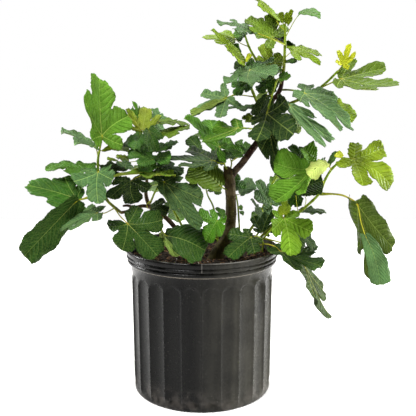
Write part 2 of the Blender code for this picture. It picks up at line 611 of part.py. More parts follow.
                 dict(tip=(326, 213.5, -3.0), left=(313, 208, -6.0), right=(313, 214, -0.5)),
                 ((296, 214.5, 1.0),)),
            Leaf("three", (299, 196, -1.4),
                 dict(tip=(286, 207, -1.0), left=(298, 207, -0.4), right=(288, 195, -3.0)),
                 ((304, 207.5, 1.5), (306, 199, -1.0), (302.5, 193.5, -1.8))),
        ),
    ),
    "right_base": Shoot(
        stems=(
            Stem(way=((254, 255.5, -1.0), (257, 247, 0.4), (262, 240, 2.2), (270, 231, 3.6), (277, 223, 4.4)),
                 radius=(2.0, 1.4)),
        ),
        leaves=(
            Leaf("five", (284, 218, 5.0),
                 dict(tip=(290, 257, 10.5), left=(313, 231, 7.5), right=(272, 229, 8.5),
                      low_left=(298, 212, 4.2), low_right=(273, 212.5, 5.2))),
            Leaf("three", (283, 214, 5.2),
                 dict(tip=(284, 200.5, 4.0), left=(278.5, 207, 5.0), right=(290.5, 206.5, 4.4))),
            Leaf("three", (296, 228, 2.6),
                 dict(tip=(317, 249, 3.6), left=(309, 234, 0.5), right=(299, 248, 5.6)),
                 ((277, 223, 4.4), (286, 225, 2.8))),
            Leaf("five", (281, 251.5, 5.8),
                 dict(tip=(322, 266, 6.5), left=(315, 250, 2.0), right=(295, 270, 9.5), low_right=(272, 250, 6.5)),
                 ((257.5, 246, 0.6), (265, 244, 3.2), (274, 246, 5.0))),
            Leaf("three", (305, 267, 4.4),
                 dict(tip=(330, 317, 7.0), left=(317, 300, 10.0), right=(328, 296, 2.5)),
                 ((263.5, 238.5, 2.6), (282, 243, 1.4), (297, 251, 1.0), (304, 262, 3.0))),
        ),
    ),
    "right_inner": Shoot(
        stems=(
            Stem(way=((247, 244, -6.0), (255, 237, -6.2), (261, 229, -6.2), (265, 220, -6.0)), radius=(1.8, 1.4)),
        ),
        leaves=(
            Leaf("five", (262, 232, -4.0),
                 dict(tip=(272, 209, -3.4), left=(253, 217, -2.6), right=(275, 227, -4.0), low_left=(254, 229, -2.6),
                      low_right=(270, 235, -4.6)),
                 ((259, 232.5, -6.1),)),
            Leaf("three", (262, 221, -6.9),
                 dict(tip=(250.5, 199.5, -7.4), left=(255, 211, -5.6), right=(258.5, 206.5, -8.4))),
            Leaf("five", (271, 204, -4.4),
                 dict(tip=(257.5, 180.5, -6.5), left=(254, 193, -4.0), right=(271, 185, -7.5), low_right=(282, 198, -6.0)),
                 ((268, 212, -5.8),)),
        ),
    ),
    "back_left": Shoot(
        stems=(
            Stem(way=((188, 245, -8.0), (186, 236, -8.6), (180, 222, -9.6), (172, 208, -10.6), (165, 196, -11.2),
                      (160, 186, -11.6)), radius=(2.6, 1.6)),
        ),
        leaves=(
            Leaf("five", (159, 184, -12.6),
                 dict(tip=(154, 192, -20.0), left=(140, 190, -16.0), right=(176, 189, -16.5),
                      low_left=(146, 184, -11.5), low_right=(172, 183, -12.0))),
            Leaf("five", (173, 206, -12.0),
                 dict(tip=(178, 222, -19.0), left=(160, 217, -15.0), right=(192, 214, -17.0),
                      low_left=(165, 206, -10.5), low_right=(184, 203, -13.0))),
            Leaf("three", (184, 226, -10.5),
                 dict(tip=(196, 233, -16.5), left=(181, 232, -14.0), right=(202, 226, -13.5))),
        ),
    ),
    "back_right": Shoot(
        stems=(
            Stem(way=((240, 245.6, -7.4), (249, 232, -8.6), (259, 216, -9.6), (266, 200, -10.0), (271, 186, -10.2),
                      (280, 172, -10.4), (290, 161, -10.4)), radius=(2.8, 1.7)),
        ),
        leaves=(
            Leaf("five", (292, 159, -11.0),
                 dict(tip=(300, 168, -18.5), left=(280, 166, -15.0), right=(315, 160, -15.0),
                      low_left=(284, 159, -10.5), low_right=(306, 156, -11.0))),
            Leaf("five", (283, 175, -11.4),
                 dict(tip=(284, 190, -18.5), left=(270, 184, -14.5), right=(299, 184, -15.5),
                      low_left=(275, 176, -10.8), low_right=(295, 174, -11.8))),
            Leaf("five", (262, 210, -11.0),
                 dict(tip=(258, 226, -18.0), left=(250, 221, -14.5), right=(272, 222, -15.0),
                      low_left=(255, 212, -10.5), low_right=(270, 211, -11.0))),
        ),
    ),
    "front_low": Shoot(
        stems=(
            Stem(way=((262.5, 250.5, -2.4), (263, 243, -1.6), (260.5, 238.5, 0.6), (257, 236, 2.4)), radius=(1.7, 1.3)),
        ),
        leaves=(
            Leaf("five", (251, 237.5, 4.2),
                 dict(tip=(227, 259, 9.0), left=(256, 253, 7.5), right=(228, 233, 5.5), low_left=(262, 242, 4.4),
                      low_right=(245.5, 228.5, 2.6))),
        ),
    ),
}


def sight(across, down, forward):
    """The point in metres that a viewer sees at a place of the picture, that far forward."""
    slope = (PICTURE_CENTRE - down) / PICTURE_DEPTH
    ahead = cos(EYE_PITCH) + slope * sin(EYE_PITCH)
    rise = slope * cos(EYE_PITCH) - sin(EYE_PITCH)
    far = (EYE_BACK - forward * CENTIMETRE) / ahead
    right = (across - PICTURE_CENTRE) / PICTURE_DEPTH
    return np.array([EYE_RIGHT + right * far, -forward * CENTIMETRE, EYE_HEIGHT + rise * far])


def places(way):
    """The points in metres of a list of places."""
    return np.array([sight(*place) for place in way])


def on_ray(turn, reach):
    """A point of a flat leaf, turned from the midrib, at a distance from the stalk."""
    return np.array([reach * cos(radians(turn)), reach * sin(radians(turn))])


def lobe_point(form, lobe, along, aside):
    """A point of a flat leaf, along a lobe's own rib and aside from it in half widths."""
    turn, reach, half = form.lobes[abs(lobe)]
    turn = radians(turn if lobe >= 0 else -turn)
    rib = np.array([cos(turn), sin(turn)])
    across = np.array([-sin(turn), cos(turn)])
    return rib * reach * along + across * half * aside


def anchor(form, name):
    """Where a named place of a leaf lies on its flat outline."""
    side = -1 if name.endswith("left") else 1
    lobe = {"left": 1, "right": 1, "low_left": 2, "low_right": 2}.get(name)
    if lobe is not None and lobe < len(form.lobes):
        return lobe_point(form, side * lobe, 1.0, 0.0)
    if name == "tip":
        return np.array([1.0, 0.0])
    if name == "mid":
        return np.array([0.5, 0.0])
    return lobe_point(form, 0, 0.64 if len(form.lobes) > 1 else 0.50, side)


def bent_terms(flat):
    """The terms of a bent sheet at flat points: u, v, u squared, u times v, v squared."""
    u, v = np.asarray(flat, float).T
    return np.stack([u, v, u * u, u * v, v * v], axis=1)


def leaf_sheet(leaf):
    """The least bent sheet, a little domed, that carries a flat leaf's lobes to their places."""
    form = FORMS[leaf.form]
    base = sight(*leaf.base)
    flat = np.array([anchor(form, name) for name in leaf.reach])
    goals = places(leaf.reach.values()) - base
    terms = bent_terms(flat)
    hold = SHEET_HOLD
    bends = np.zeros((3, 5))
    bends[:, 2:] = np.eye(3)
    slopes = np.linalg.lstsq(
        np.vstack([hold * terms, bends]), np.vstack([hold * goals, np.zeros((3, 3))]), rcond=None
    )[0]
    top = np.cross(slopes[1], slopes[0])
    dome = -DOME * np.linalg.norm(slopes[0]) * top / np.linalg.norm(top)
    wanted = np.array([dome, 0 * dome, dome])
    slopes = np.linalg.lstsq(
        np.vstack([hold * terms, bends]), np.vstack([hold * goals, wanted]), rcond=None
    )[0]
    return base, slopes


def on_sheet(sheet, flat):
    """Points of a bent sheet, and its upward normals there."""
    base, slopes = sheet
    u, v = np.asarray(flat, float).T
    points = base + bent_terms(flat) @ slopes
    zero, one = 0 * u, 1 + 0 * u
    along = np.stack([one, zero, 2 * u, v, zero], axis=1) @ slopes
    across = np.stack([zero, one, zero, u, 2 * v], axis=1) @ slopes
    normals = np.cross(across, along)
    return points, normals / np.linalg.norm(normals, axis=1, keepdims=True)


def lobe_rim(form, lobe, fine):
    """A lobe's own rim, from its left side round its tip to its right side."""
    if not fine:
        shape = ((0.72, -1.0), (1.0, 0.0), (0.72, 1.0))
    else:
        shape = ((0.62, -1.0), (0.90, -0.74), (1.0, 0.0), (0.90, 0.74), (0.62, 1.0))
    return [lobe_point(form, lobe, along, aside) for along, aside in shape]


def flat_leaf(form, size, half_stalk):
    """A flat leaf's points, triangles and rim: a fan about each lobe's rib, and one at the stalk.

    The rim runs from one side of the stalk to the other, and stays open there.
    """
    points = [np.zeros(2)]
    triangles = []
    last = len(form.lobes) - 1
    detail = form.heel[:1] if size < TINY_LEAF else form.heel
    notch = form.notch if size >= TINY_LEAF else 0.6 * form.notch

    def add(point):
        points.append(np.asarray(point, float))
        return len(points) - 1

    left_heel = [add(on_ray(-turn, reach)) for turn, reach in detail]
    clefts = {
        side * (i + 1): add(on_ray(side * turn, reach))
        for i, (turn, reach) in enumerate(form.clefts)
        for side in (-1, 1)
    }
    right_heel = [add(on_ray(turn, reach)) for turn, reach in detail]
    stalk = [add((notch, -half_stalk)), add((notch, half_stalk))]
    rim = [stalk[0]] + left_heel[::-1]
    for lobe in range(-last, last + 1):
        middle = add(lobe_point(form, lobe, 0.50, 0.0))
        before = left_heel[0] if lobe == -last else clefts[lobe - 1 if lobe <= 0 else lobe]
        after = right_heel[0] if lobe == last else clefts[lobe if lobe < 0 else lobe + 1]
        fine = size >= LARGE_LEAF and abs(lobe) < 2
        edge = [add(point) for point in lobe_rim(form, lobe, fine)]
        fan = [before] + edge + [after]
        triangles += [(middle, a, b) for a, b in zip(fan, fan[1:])]
        triangles += [(0, before, middle), (0, middle, after)]
        rim += edge + ([after] if lobe != last else right_heel)
    rim.append(stalk[1])
    ring = right_heel + stalk[::-1] + left_heel[::-1]
    triangles += [(0, a, b) for a, b in zip(ring, ring[1:])]
    return np.array(points), triangles, rim


def square_rings(way, side, up):
    """Square rings along a stalk's way after its start, with its first directions carried along."""
    rings = []
    legs = np.diff(way, axis=0)
    legs /= np.linalg.norm(legs, axis=1, keepdims=True)
    along = np.vstack([legs[:-1] + legs[1:], legs[-1:]])
    along /= np.linalg.norm(along, axis=1, keepdims=True)
    for point, forward in zip(way[1:], along):
        side = side - forward * np.dot(side, forward)
        side /= np.linalg.norm(side)
        lift = np.cross(forward, side)
        up = lift if np.dot(lift, up) >= 0 else -lift
        rings += [point + STALK_RADIUS * (a * side + b * up) for a, b in ((-1, 1), (1, 1), (1, -1), (-1, -1))]
    return rings


def opened(form):
    """The same form with its heel drawn in, which leaves more room for the stalk."""
    heel = tuple((0.80 * turn, 0.72 * reach) if turn > 90 else (turn, reach) for turn, reach in form.heel)
    return Form(form.lobes, form.clefts, heel, form.notch)


def leaf_solid(leaf, curves):
    """A leaf's solid, of the first heel and neck with which its stalk passes clear of its blade."""
    form = FORMS[leaf.form]
    for shape in (form, opened(form)):
        for neck in NECKS:
            solid = stalked_blade(leaf, shape, neck, curves)
            if not crosses_itself(*solid):
                return solid
    return solid


def stalked_blade(leaf, form, neck, curves):
    """A leaf as vertices and faces: its blade, split alike on both faces, and its stalk."""
    sheet = leaf_sheet(leaf)
    base, slopes = sheet
    size = np.linalg.norm(places([leaf.reach["tip"]])[0] - base)
    half_stalk = STALK_RADIUS / np.linalg.norm(slopes[1])
    flat, triangles, rim = flat_leaf(form, size, half_stalk)
    points, normals = on_sheet(sheet, flat)
    half = normals * BLADE_THICKNESS / 2
    count = len(points)
    vertices = np.vstack([points + half, points - half])
    faces = list(triangles)
    faces += [(a + count, c + count, b + count) for a, b, c in triangles]
    for a, b in zip(rim, rim[1:]):
        faces += [(b, a, a + count), (b, a + count, b + count)]
    left, right = rim[0], rim[-1]
    start, up = (points[left] + points[right]) / 2, normals[left]
    way = list(places(leaf.stalk))
    root = nearest_on(curves, way[0] if way else start)
    if way and np.linalg.norm(way[0] - root) < STALK_START:
        way = way[1:]
    way = [root] + way
    before = way[-1] - start
    back = -slopes[0] / np.linalg.norm(slopes[0])
    leaning = 1 if np.dot(before, up) > 0.2 * np.linalg.norm(before) else -1
    if np.linalg.norm(before) > STALK_START or neck != NECKS[0]:
        backwards, upwards, sideways = neck
        side = np.cross(back, up)
        way.append(start + STALK_NECK * (backwards * back + upwards * leaning * up + sideways * side))
    rings = square_rings(np.array([start] + way[::-1]), points[right] - points[left], up)
    return np.vstack([vertices, rings]), faces + stalk_faces(rings, left, right, count)


def stalk_faces(rings, left, right, count):
    """The faces of a stalk that leaves a blade's open rim at its left and right corners."""
    faces = []
    corner = [left, right, right + count, left + count]
    for ring in range(len(rings) // 4):
        following = [2 * count + 4 * ring + i for i in range(4)]
        for i in range(4):
            j = (i + 1) % 4
            faces.append((corner[i], corner[j], following[j], following[i]))
        corner = following
    return faces + [tuple(corner)]


def crosses_itself(vertices, faces):
    """Whether two faces that share no corner meet."""
    tree = BVHTree.FromPolygons([tuple(v) for v in vertices], faces)
    return any(not set(faces[a]) & set(faces[b]) for a, b in tree.overlap(tree))


def smooth_way(points, steps):
    """A smooth curve through points, with that many steps between neighbours."""
    points = np.asarray(points, float)
    ends = np.vstack([2 * points[0] - points[1], points, 2 * points[-1] - points[-2]])
    curve = []
    for i in range(1, len(points)):
        a, b, c, d = ends[i - 1 : i + 3]
        for t in np.arange(steps) / steps:
            square = 2 * a - 5 * b + 4 * c - d
            cube = 3 * b - a - 3 * c + d
            curve.append(0.5 * (2 * b + (c - a) * t + square * t**2 + cube * t**3))
    curve.append(points[-1])
    return np.array(curve)


def tube(points, radii, sides, facing=None):
    """A round bar along points, as vertices and faces; facing turns its first end's plane."""
    points = np.asarray(points, float)
    along = np.gradient(points, axis=0)
    if facing is not None:
        along[0] = facing
    along /= np.linalg.norm(along, axis=1, keepdims=True)
    side = np.cross(along[0], (0.31, 0.87, 0.38))
    turns = 2 * pi * np.arange(sides) / sides
    rings = []
    for point, forward, radius in zip(points, along, radii):
        side = side - forward * np.dot(side, forward)
        side /= np.linalg.norm(side)
        other = np.cross(forward, side)
        rings.append(point + radius * (np.outer(np.cos(turns), side) + np.outer(np.sin(turns), other)))
    faces = []
    for ring in range(len(rings) - 1):
        for a in range(sides):
            b = (a + 1) % sides
            low, high = ring * sides, (ring + 1) * sides
            faces += [(low + a, low + b, high + b), (low + a, high + b, high + a)]
    faces.append(tuple(range(sides))[::-1])
    faces.append(tuple(range((len(rings) - 1) * sides, len(rings) * sides)))
    return np.vstack(rings), faces


def nearest_on(curves, point):
    """The point of some curves that lies nearest to a point."""
    best = None
    for curve, _ in curves:
        for a, b in zip(curve, curve[1:]):
            share = np.clip(np.dot(point - a, b - a) / np.dot(b - a, b - a), 0, 1)
            close = a + share * (b - a)
            gap = np.linalg.norm(point - close)
            if best is None or gap < best[0]:
                best = (gap, close)
    return best[1]


def make_object(name, vertices, faces, material, smooth=True):
    """A mesh object with its faces pointing outwards."""
    mesh = bpy.data.meshes.new(name)
    mesh.from_pydata([tuple(v) for v in vertices], [], faces)
    work = bmesh.new()
    work.from_mesh(mesh)
    bmesh.ops.recalc_face_normals(work, faces=work.faces[:])
    if work.calc_volume(signed=True) < 0:
        bmesh.ops.reverse_faces(work, faces=work.faces[:])
    work.to_mesh(mesh)
    work.free()
    mesh.materials.append(material)
    if smooth:
        mesh.shade_smooth()
        mesh.set_sharp_from_angle(angle=radians(40))
    thing = bpy.data.objects.new(name, mesh)
    bpy.context.scene.collection.objects.link(thing)
    return thing


def flute_share(turn):
    """How deep into a flute a turn round the pot lies: 0 on a ridge, 1 in the middle."""
    share = (turn / (2 * pi / FLUTES)) % 1.0
    return 4 * share * (1 - share)


def pot_radius(turn, height):
    """The fluted wall's radius, with each flute closed by an arch below the neck."""
    climb = (height - FOOT_HEIGHT) / (NECK_BOTTOM - FOOT_HEIGHT)
    ridge = RIDGE_RADIUS_FOOT + (RIDGE_RADIUS_TOP - RIDGE_RADIUS_FOOT) * np.clip(climb, 0, 1)
    deep = flute_share(turn)
    arch = NECK_BOTTOM - 0.010 * (1 - deep)
    fade = np.clip((arch - height) / 0.007, 0, 1) * np.clip((height - FOOT_HEIGHT) / 0.006, 0, 1)
    return ridge - FLUTE_DEPTH * deep * fade


def ring_of(radius, height, columns):
    """A level ring of points; radius may be a number or one for each column."""
    turns = 2 * pi * np.arange(columns) / columns - pi / 2
    radius = np.broadcast_to(radius, columns)
    return np.stack([radius * np.cos(turns), radius * np.sin(turns), np.full(columns, height)], axis=1)


def bridge(first, second, columns):
    """Faces between two rings that hold as many points, by their first indices."""
    return [
        (first + a, first + (a + 1) % columns, second + (a + 1) % columns, second + a) for a in range(columns)
    ]


def pot_mesh():
    """The pot: fluted wall, neck, banded rim, plain inside wall and floor."""
    columns = FLUTES * FLUTE_COLUMNS
    turns = 2 * pi * np.arange(columns) / columns
    outside = [(FOOT_RADIUS, 0.0), (RIDGE_RADIUS_FOOT, FOOT_HEIGHT)]
    wall = [0.0115, 0.1890, 0.1960, 0.2010, NECK_BOTTOM]
    band = [
        (0.1180, RIM_BOTTOM - 0.0012), (0.1234, RIM_BOTTOM), (0.1256, RIM_BOTTOM + 0.0035),
        (0.1262, RIM_BOTTOM + 0.0075), (0.1246, RIM_BOTTOM + 0.0110), (0.1264, RIM_BOTTOM + 0.0155),
        (RIM_RADIUS, RIM_BOTTOM + 0.0200), (RIM_RADIUS - 0.0010, POT_HEIGHT),
    ]
    rings = [ring_of(radius, height, columns) for radius, height in outside]
    rings += [ring_of(pot_radius(turns, height), height, columns) for height in wall]
    rings += [ring_of(radius, height, columns) for radius, height in band]
    faces = [tuple(range(columns))[::-1]]
    for i in range(len(rings) - 1):
        faces += bridge(i * columns, (i + 1) * columns, columns)
    start = len(rings) * columns
    inner = [
        ring_of(RIM_INSIDE_RADIUS, POT_HEIGHT, WALL_COLUMNS),
        ring_of(RIM_INSIDE_RADIUS, RIM_BOTTOM + 0.002, WALL_COLUMNS),
        ring_of(WALL_TOP_RADIUS, RIM_BOTTOM - 0.004, WALL_COLUMNS),
        ring_of(WALL_FOOT_RADIUS, FLOOR_THICKNESS, WALL_COLUMNS),
    ]
    outer = start - columns
    share = columns // WALL_COLUMNS
    for a in range(WALL_COLUMNS):
        near, far = start + a, start + (a + 1) % WALL_COLUMNS
        rim = [outer + (a * share + i) % columns for i in range(share + 1)]
        faces += [(near, p, q) for p, q in zip(rim[:-1], rim[1:])]
        faces.append((near, rim[-1], far))
    for i in range(len(inner) - 1):
        faces += bridge(start + i * WALL_COLUMNS, start + (i + 1) * WALL_COLUMNS, WALL_COLUMNS)
    last = start + (len(inner) - 1) * WALL_COLUMNS
    faces.append(tuple(range(last, last + WALL_COLUMNS)))
    return np.vstack(rings + inner), faces


def soil_mesh():
    """The potting mix: it fills the pot to a lumpy top a little below the rim."""
    lumps = np.random.default_rng(7)
    levels = [
        (WALL_FOOT_RADIUS, FLOOR_THICKNESS + FIT_GAP), (WALL_TOP_RADIUS, RIM_BOTTOM - 0.0035),
        (RIM_INSIDE_RADIUS, RIM_BOTTOM + 0.0026), (RIM_INSIDE_RADIUS, SOIL_LEVEL - 0.001),
    ]
    rings = [ring_of(radius - FIT_GAP, height, WALL_COLUMNS) for radius, height in levels]
    for i in range(1, SOIL_RINGS + 1):
        ring = ring_of((RIM_INSIDE_RADIUS - FIT_GAP) * (1 - i / (SOIL_RINGS + 1)), SOIL_LEVEL, WALL_COLUMNS)
        ring[:, 2] += lumps.uniform(-SOIL_ROUGHNESS, SOIL_ROUGHNESS, WALL_COLUMNS)
        rings.append(ring)
    faces = [tuple(range(WALL_COLUMNS))[::-1]]
    for i in range(len(rings) - 1):
        faces += bridge(i * WALL_COLUMNS, (i + 1) * WALL_COLUMNS, WALL_COLUMNS)
    last = (len(rings) - 1) * WALL_COLUMNS
    middle = len(rings) * WALL_COLUMNS
    faces += [(last + a, last + (a + 1) % WALL_COLUMNS, middle) for a in range(WALL_COLUMNS)]
    return np.vstack(rings + [np.array([[0.0, 0.0, SOIL_LEVEL + 0.001]])]), faces


def boolean(thing, operation, solver="EXACT", other=None, group=None):
    """Apply one Boolean to an object, with another object or with a collection of them."""
    step = thing.modifiers.new(operation.lower(), "BOOLEAN")
    step.operation = operation
    step.solver = solver
    if group is not None:
        step.operand_type = "COLLECTION"
        step.collection = group
    else:
        step.object = other
    bpy.context.view_layer.update()
    depsgraph = bpy.context.evaluated_depsgraph_get()
    mesh = bpy.data.meshes.new_from_object(thing.evaluated_get(depsgraph), depsgraph=depsgraph)
    thing.modifiers.remove(step)
    old = thing.data
    thing.data = mesh
    bpy.data.meshes.remove(old)


def fuse(name, solids, material):
    """One closed body from solids that overlap, given as vertices and faces."""
    first = make_object(name, *solids[0], material)
    if len(solids) == 1:
        return first
    group = bpy.data.collections.new(name + "_parts")
    bpy.context.scene.collection.children.link(group)
    for i, solid in enumerate(solids[1:]):
        thing = make_object(f"{name}_{i}", *solid, material)
        bpy.context.scene.collection.objects.unlink(thing)
        group.objects.link(thing)
    boolean(first, "UNION", solver="MANIFOLD", group=group)
    for thing in list(group.objects):
        bpy.data.objects.remove(thing)
    bpy.data.collections.remove(group)
    drop_scraps(first)
    return first


def drop_scraps(thing):
    """Remove every loose piece but the largest, if it has too few corners to be more than a scrap."""
    work = bmesh.new()
    work.from_mesh(thing.data)
    waiting = set(work.verts)
    while waiting:
        piece = {waiting.pop()}
        border = list(piece)
        while border:
            corner = border.pop()
            near = {edge.other_vert(corner) for edge in corner.link_edges} - piece
            piece |= near
            border += near
        waiting -= piece
        if len(piece) <= SCRAP_CORNERS:
            bmesh.ops.delete(work, geom=list(piece), context="VERTS")
    work.to_mesh(thing.data)
    work.free()


def rooted(curve, radii):
    """A stem that starts in the soil, lengthened straight down into it."""
    foot = np.array([curve[0][0], curve[0][1], SOIL_LEVEL - ROOT_DEPTH])
    return np.vstack([foot, curve]), np.concatenate([[radii[0]], radii])


def distance_and_radius(curves, point):
    """How far a point is from some stems' middle lines, where, and how thick the stem is there."""
    best = None
    for curve, radii in curves:
        for i in range(len(curve) - 1):
            a, b = curve[i], curve[i + 1]
            share = np.clip(np.dot(point - a, b - a) / np.dot(b - a, b - a), 0, 1)
            close = a + share * (b - a)
            gap = np.linalg.norm(point - close)
            thick = radii[i] + share * (radii[i + 1] - radii[i])
            if best is None or gap - thick < best[0] - best[2]:
                best = (gap, close, thick)
    return best


def wood_faces(wood):
    """A search tree of some wooden stems' faces."""
    corners, faces = [], []
    for curve, radii in wood:
        points, sides = tube(curve, radii, WOOD_SIDES)
        faces += [tuple(i + len(corners) for i in face) for face in sides]
        corners += [tuple(point) for point in points]
    return BVHTree.FromPolygons(corners, faces)


def clears(wood, tree, point):
    """Whether a point lies outside some wooden stems, by the gap that joins keep."""
    away, _, thick = distance_and_radius(wood, point)
    return away > thick * cos(pi / WOOD_SIDES) and tree.find_nearest(point)[3] >= JOIN_GAP


def clear_of(wood, stem):
    """A stem that starts where its end face just clears the wood that carries it."""
    curve, radii = stem_curve(stem, FINE_STEPS)
    tree = wood_faces(wood)
    start = 0
    for i in range(len(curve) - 1):
        face = tube(curve[i : i + 2], radii[i : i + 2], STEM_SIDES)[0][:STEM_SIDES]
        if all(clears(wood, tree, point) for point in [curve[i], *face]):
            start = i
            break
    count = max(3, len(stem.way))
    keep = np.unique(np.round(np.linspace(start, len(curve) - 1, count)).astype(int))
    return curve[keep], radii[keep], curve[start + 1] - curve[start]


def beyond_end(wood, stem):
    """A stem that goes on where a wooden stem ends, with its end face turned the same way."""
    start = sight(*stem.way[0])
    ends = [curve for curve, _ in wood if np.linalg.norm(curve[-1] - start) < 0.001]
    facing = ends[0][-1] - ends[0][-2]
    facing /= np.linalg.norm(facing)
    curve, radii = stem_curve(stem)
    curve = curve.copy()
    curve[0] = ends[0][-1] + facing * JOIN_GAP
    return curve, radii, facing


def stem_curve(stem, steps=1):
    """A stem's smooth curve and its radii in metres."""
    curve = smooth_way(places(stem.way), steps)
    radii = np.interp(
        np.linspace(0, 1, len(curve)), np.linspace(0, 1, len(stem.radius)), np.array(stem.radius) / 1000
    )
    return curve, radii


def wood_curves(stems, planted=True):
    """The curves of some wooden stems, of which the first may stand in the soil."""
    curves = [stem_curve(stem, 2) for stem in stems]
    if planted:
        curves[0] = rooted(*curves[0])
    return curves


def shoot_solids(shoot, wood):
    """The solids of one leafy stem: its stems and its stalked leaves."""
    carrier, _, place = shoot.start.partition(" ")
    if place == "end":
        curve, radii, facing = beyond_end(wood[carrier], shoot.stems[0])
    elif place == "side":
        curve, radii, facing = clear_of(wood[carrier], shoot.stems[0])
    else:
        curve, radii = rooted(*stem_curve(shoot.stems[0]))
        facing = None
    curves = [(curve, radii)] + [stem_curve(stem) for stem in shoot.stems[1:]]
    solids = [tube(curve, radii, STEM_SIDES, facing)]
    solids += [tube(*curve, STEM_SIDES) for curve in curves[1:]]
    solids += [leaf_solid(leaf, curves) for leaf in shoot.leaves]
    return solids


def stem_hole(curve, radii, sides):
    """A cutter for the hole that a stem stands in: its own bar's foot, a little thicker."""
    count = 1 + next(i for i in range(len(curve)) if curve[i][2] > SOIL_LEVEL + 0.01)
    foot = curve[: count + 1].copy()
    foot[0] -= (0, 0, FIT_GAP)
    return tube(foot, radii[: count + 1] + FIT_GAP / cos(pi / sides), sides)


def plain_material(name, colour, roughness):
    """A material of one colour."""
    material = bpy.data.materials.new(name)
    material.use_nodes = True
    shader = material.node_tree.nodes["Principled BSDF"]
    shader.inputs["Base Color"].default_value = (*colour, 1.0)
    shader.inputs["Roughness"].default_value = roughness
    return material


def make_pot():
    """The pot, with its drain holes."""
    pot = make_object("pot", *pot_mesh(), plain_material("pot_plastic", (0.02, 0.02, 0.02), 0.42))
    for i in range(DRAIN_HOLES):
        turn = 2 * pi * (i + 0.5) / DRAIN_HOLES
        place = np.array([DRAIN_CIRCLE * cos(turn), DRAIN_CIRCLE * sin(turn), 0.0])
        ends = np.array([place - (0, 0, 0.002), place + (0, 0, FLOOR_THICKNESS + 0.002)])
        cutter = make_object("drain", *tube(ends, (DRAIN_RADIUS, DRAIN_RADIUS), STEM_SIDES), pot.data.materials[0])
        boolean(pot, "DIFFERENCE", other=cutter)
        bpy.data.objects.remove(cutter)


def make_soil(planted):
    """The soil, with a plain hole for each stem that stands in it."""
    soil = make_object("soil", *soil_mesh(), plain_material("potting_mix", (0.03, 0.02, 0.015), 0.95))
    for curve, radii, sides in planted:
        cutter = make_object("hole", *stem_hole(curve, radii, sides), soil.data.materials[0])
        boolean(soil, "DIFFERENCE", other=cutter)
        bpy.data.objects.remove(cutter)


def main():
    """Clear the scene and make the pot, the soil, the wood and the leafy stems."""
    for thing in list(bpy.data.objects):
        bpy.data.objects.remove(thing)
    bark = plain_material("bark", (0.16, 0.11, 0.08), 0.85)
    wood = {"trunk": wood_curves(TRUNK), "left_wood": wood_curves(LEFT_WOOD)}
    for name, curves in wood.items():
        fuse(name, [tube(*curve, WOOD_SIDES) for curve in curves], bark)
    planted = [(*curves[0], WOOD_SIDES) for curves in wood.values()]
    for name, shoot in SHOOTS.items():
        leafage = plain_material(name + "_leaf", shoot.colour, 0.55)
        fuse(name, shoot_solids(shoot, wood), leafage)
        if shoot.start == "soil":
            planted.append((*rooted(*stem_curve(shoot.stems[0])), STEM_SIDES))
    make_pot()
    make_soil(planted)


main()
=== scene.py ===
"""The looks of a young fig tree in a black fluted nursery pot.

Metres, +Z up. The origin is the middle of the pot's base, and the viewer stands on the -Y side.
Stems and leaves are placed as the viewer sees them: a place is (across, down, forward), where
across and down are picture units on a picture held up before the viewer, and forward is how far
the place lies in front of the pot's axis, in centimetres. Surfaces are grids of two parameters.
"""

import logging
from dataclasses import dataclass
from enum import Enum
from math import atan, cos, pi, radians, sin

import bpy
import numpy as np
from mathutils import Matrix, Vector


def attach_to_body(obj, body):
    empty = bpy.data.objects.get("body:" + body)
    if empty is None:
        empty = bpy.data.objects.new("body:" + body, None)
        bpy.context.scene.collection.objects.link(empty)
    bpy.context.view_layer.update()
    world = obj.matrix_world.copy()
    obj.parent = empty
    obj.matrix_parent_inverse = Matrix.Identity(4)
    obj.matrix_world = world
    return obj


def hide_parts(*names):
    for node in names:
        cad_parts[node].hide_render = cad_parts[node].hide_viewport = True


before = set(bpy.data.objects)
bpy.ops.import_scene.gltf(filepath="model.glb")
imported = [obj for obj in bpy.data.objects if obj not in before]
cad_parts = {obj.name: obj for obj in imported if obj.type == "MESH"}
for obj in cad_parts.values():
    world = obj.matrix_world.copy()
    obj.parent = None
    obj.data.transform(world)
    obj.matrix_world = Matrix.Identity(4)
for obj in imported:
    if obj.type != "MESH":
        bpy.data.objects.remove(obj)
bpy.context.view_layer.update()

Array = np.ndarray
Place = tuple[float, float, float]
Place2 = tuple[float, float]
Colour = tuple[float, float, float]
Socket = bpy.types.NodeSocket
Material = bpy.types.Material
Thing = bpy.types.Object

LOG = logging.getLogger("potted_fig")
BODY = "root"

# The viewer of the places below
EYE_RIGHT = 0.010
EYE_BACK = 1.168
EYE_HEIGHT = 0.510
EYE_PITCH = radians(9.84)
PICTURE_DEPTH = 716.0
PICTURE_CENTRE = 208.0
CENTIMETRE = 0.01

# Round bars: the height of their domed ends in radii, and their pattern's units in a metre
END_DOME = 0.35
MARKS_PER_METRE = 10

# The level that the bed and the stems share
SOIL_LEVEL = 0.2265


def srgb(text: str) -> Colour:
    """The linear red, green and blue of a colour such as "#35602a"."""
    shares = [int(text[i : i + 2], 16) / 255 for i in (1, 3, 5)]
    return tuple(s / 12.92 if s <= 0.04045 else ((s + 0.055) / 1.055) ** 2.4 for s in shares)


@dataclass(frozen=True)
class LeafTone:
    """The colours of a leaf's two faces, and how much it swells between its veins."""

    top: str
    under: str
    quilt: float = 0.5


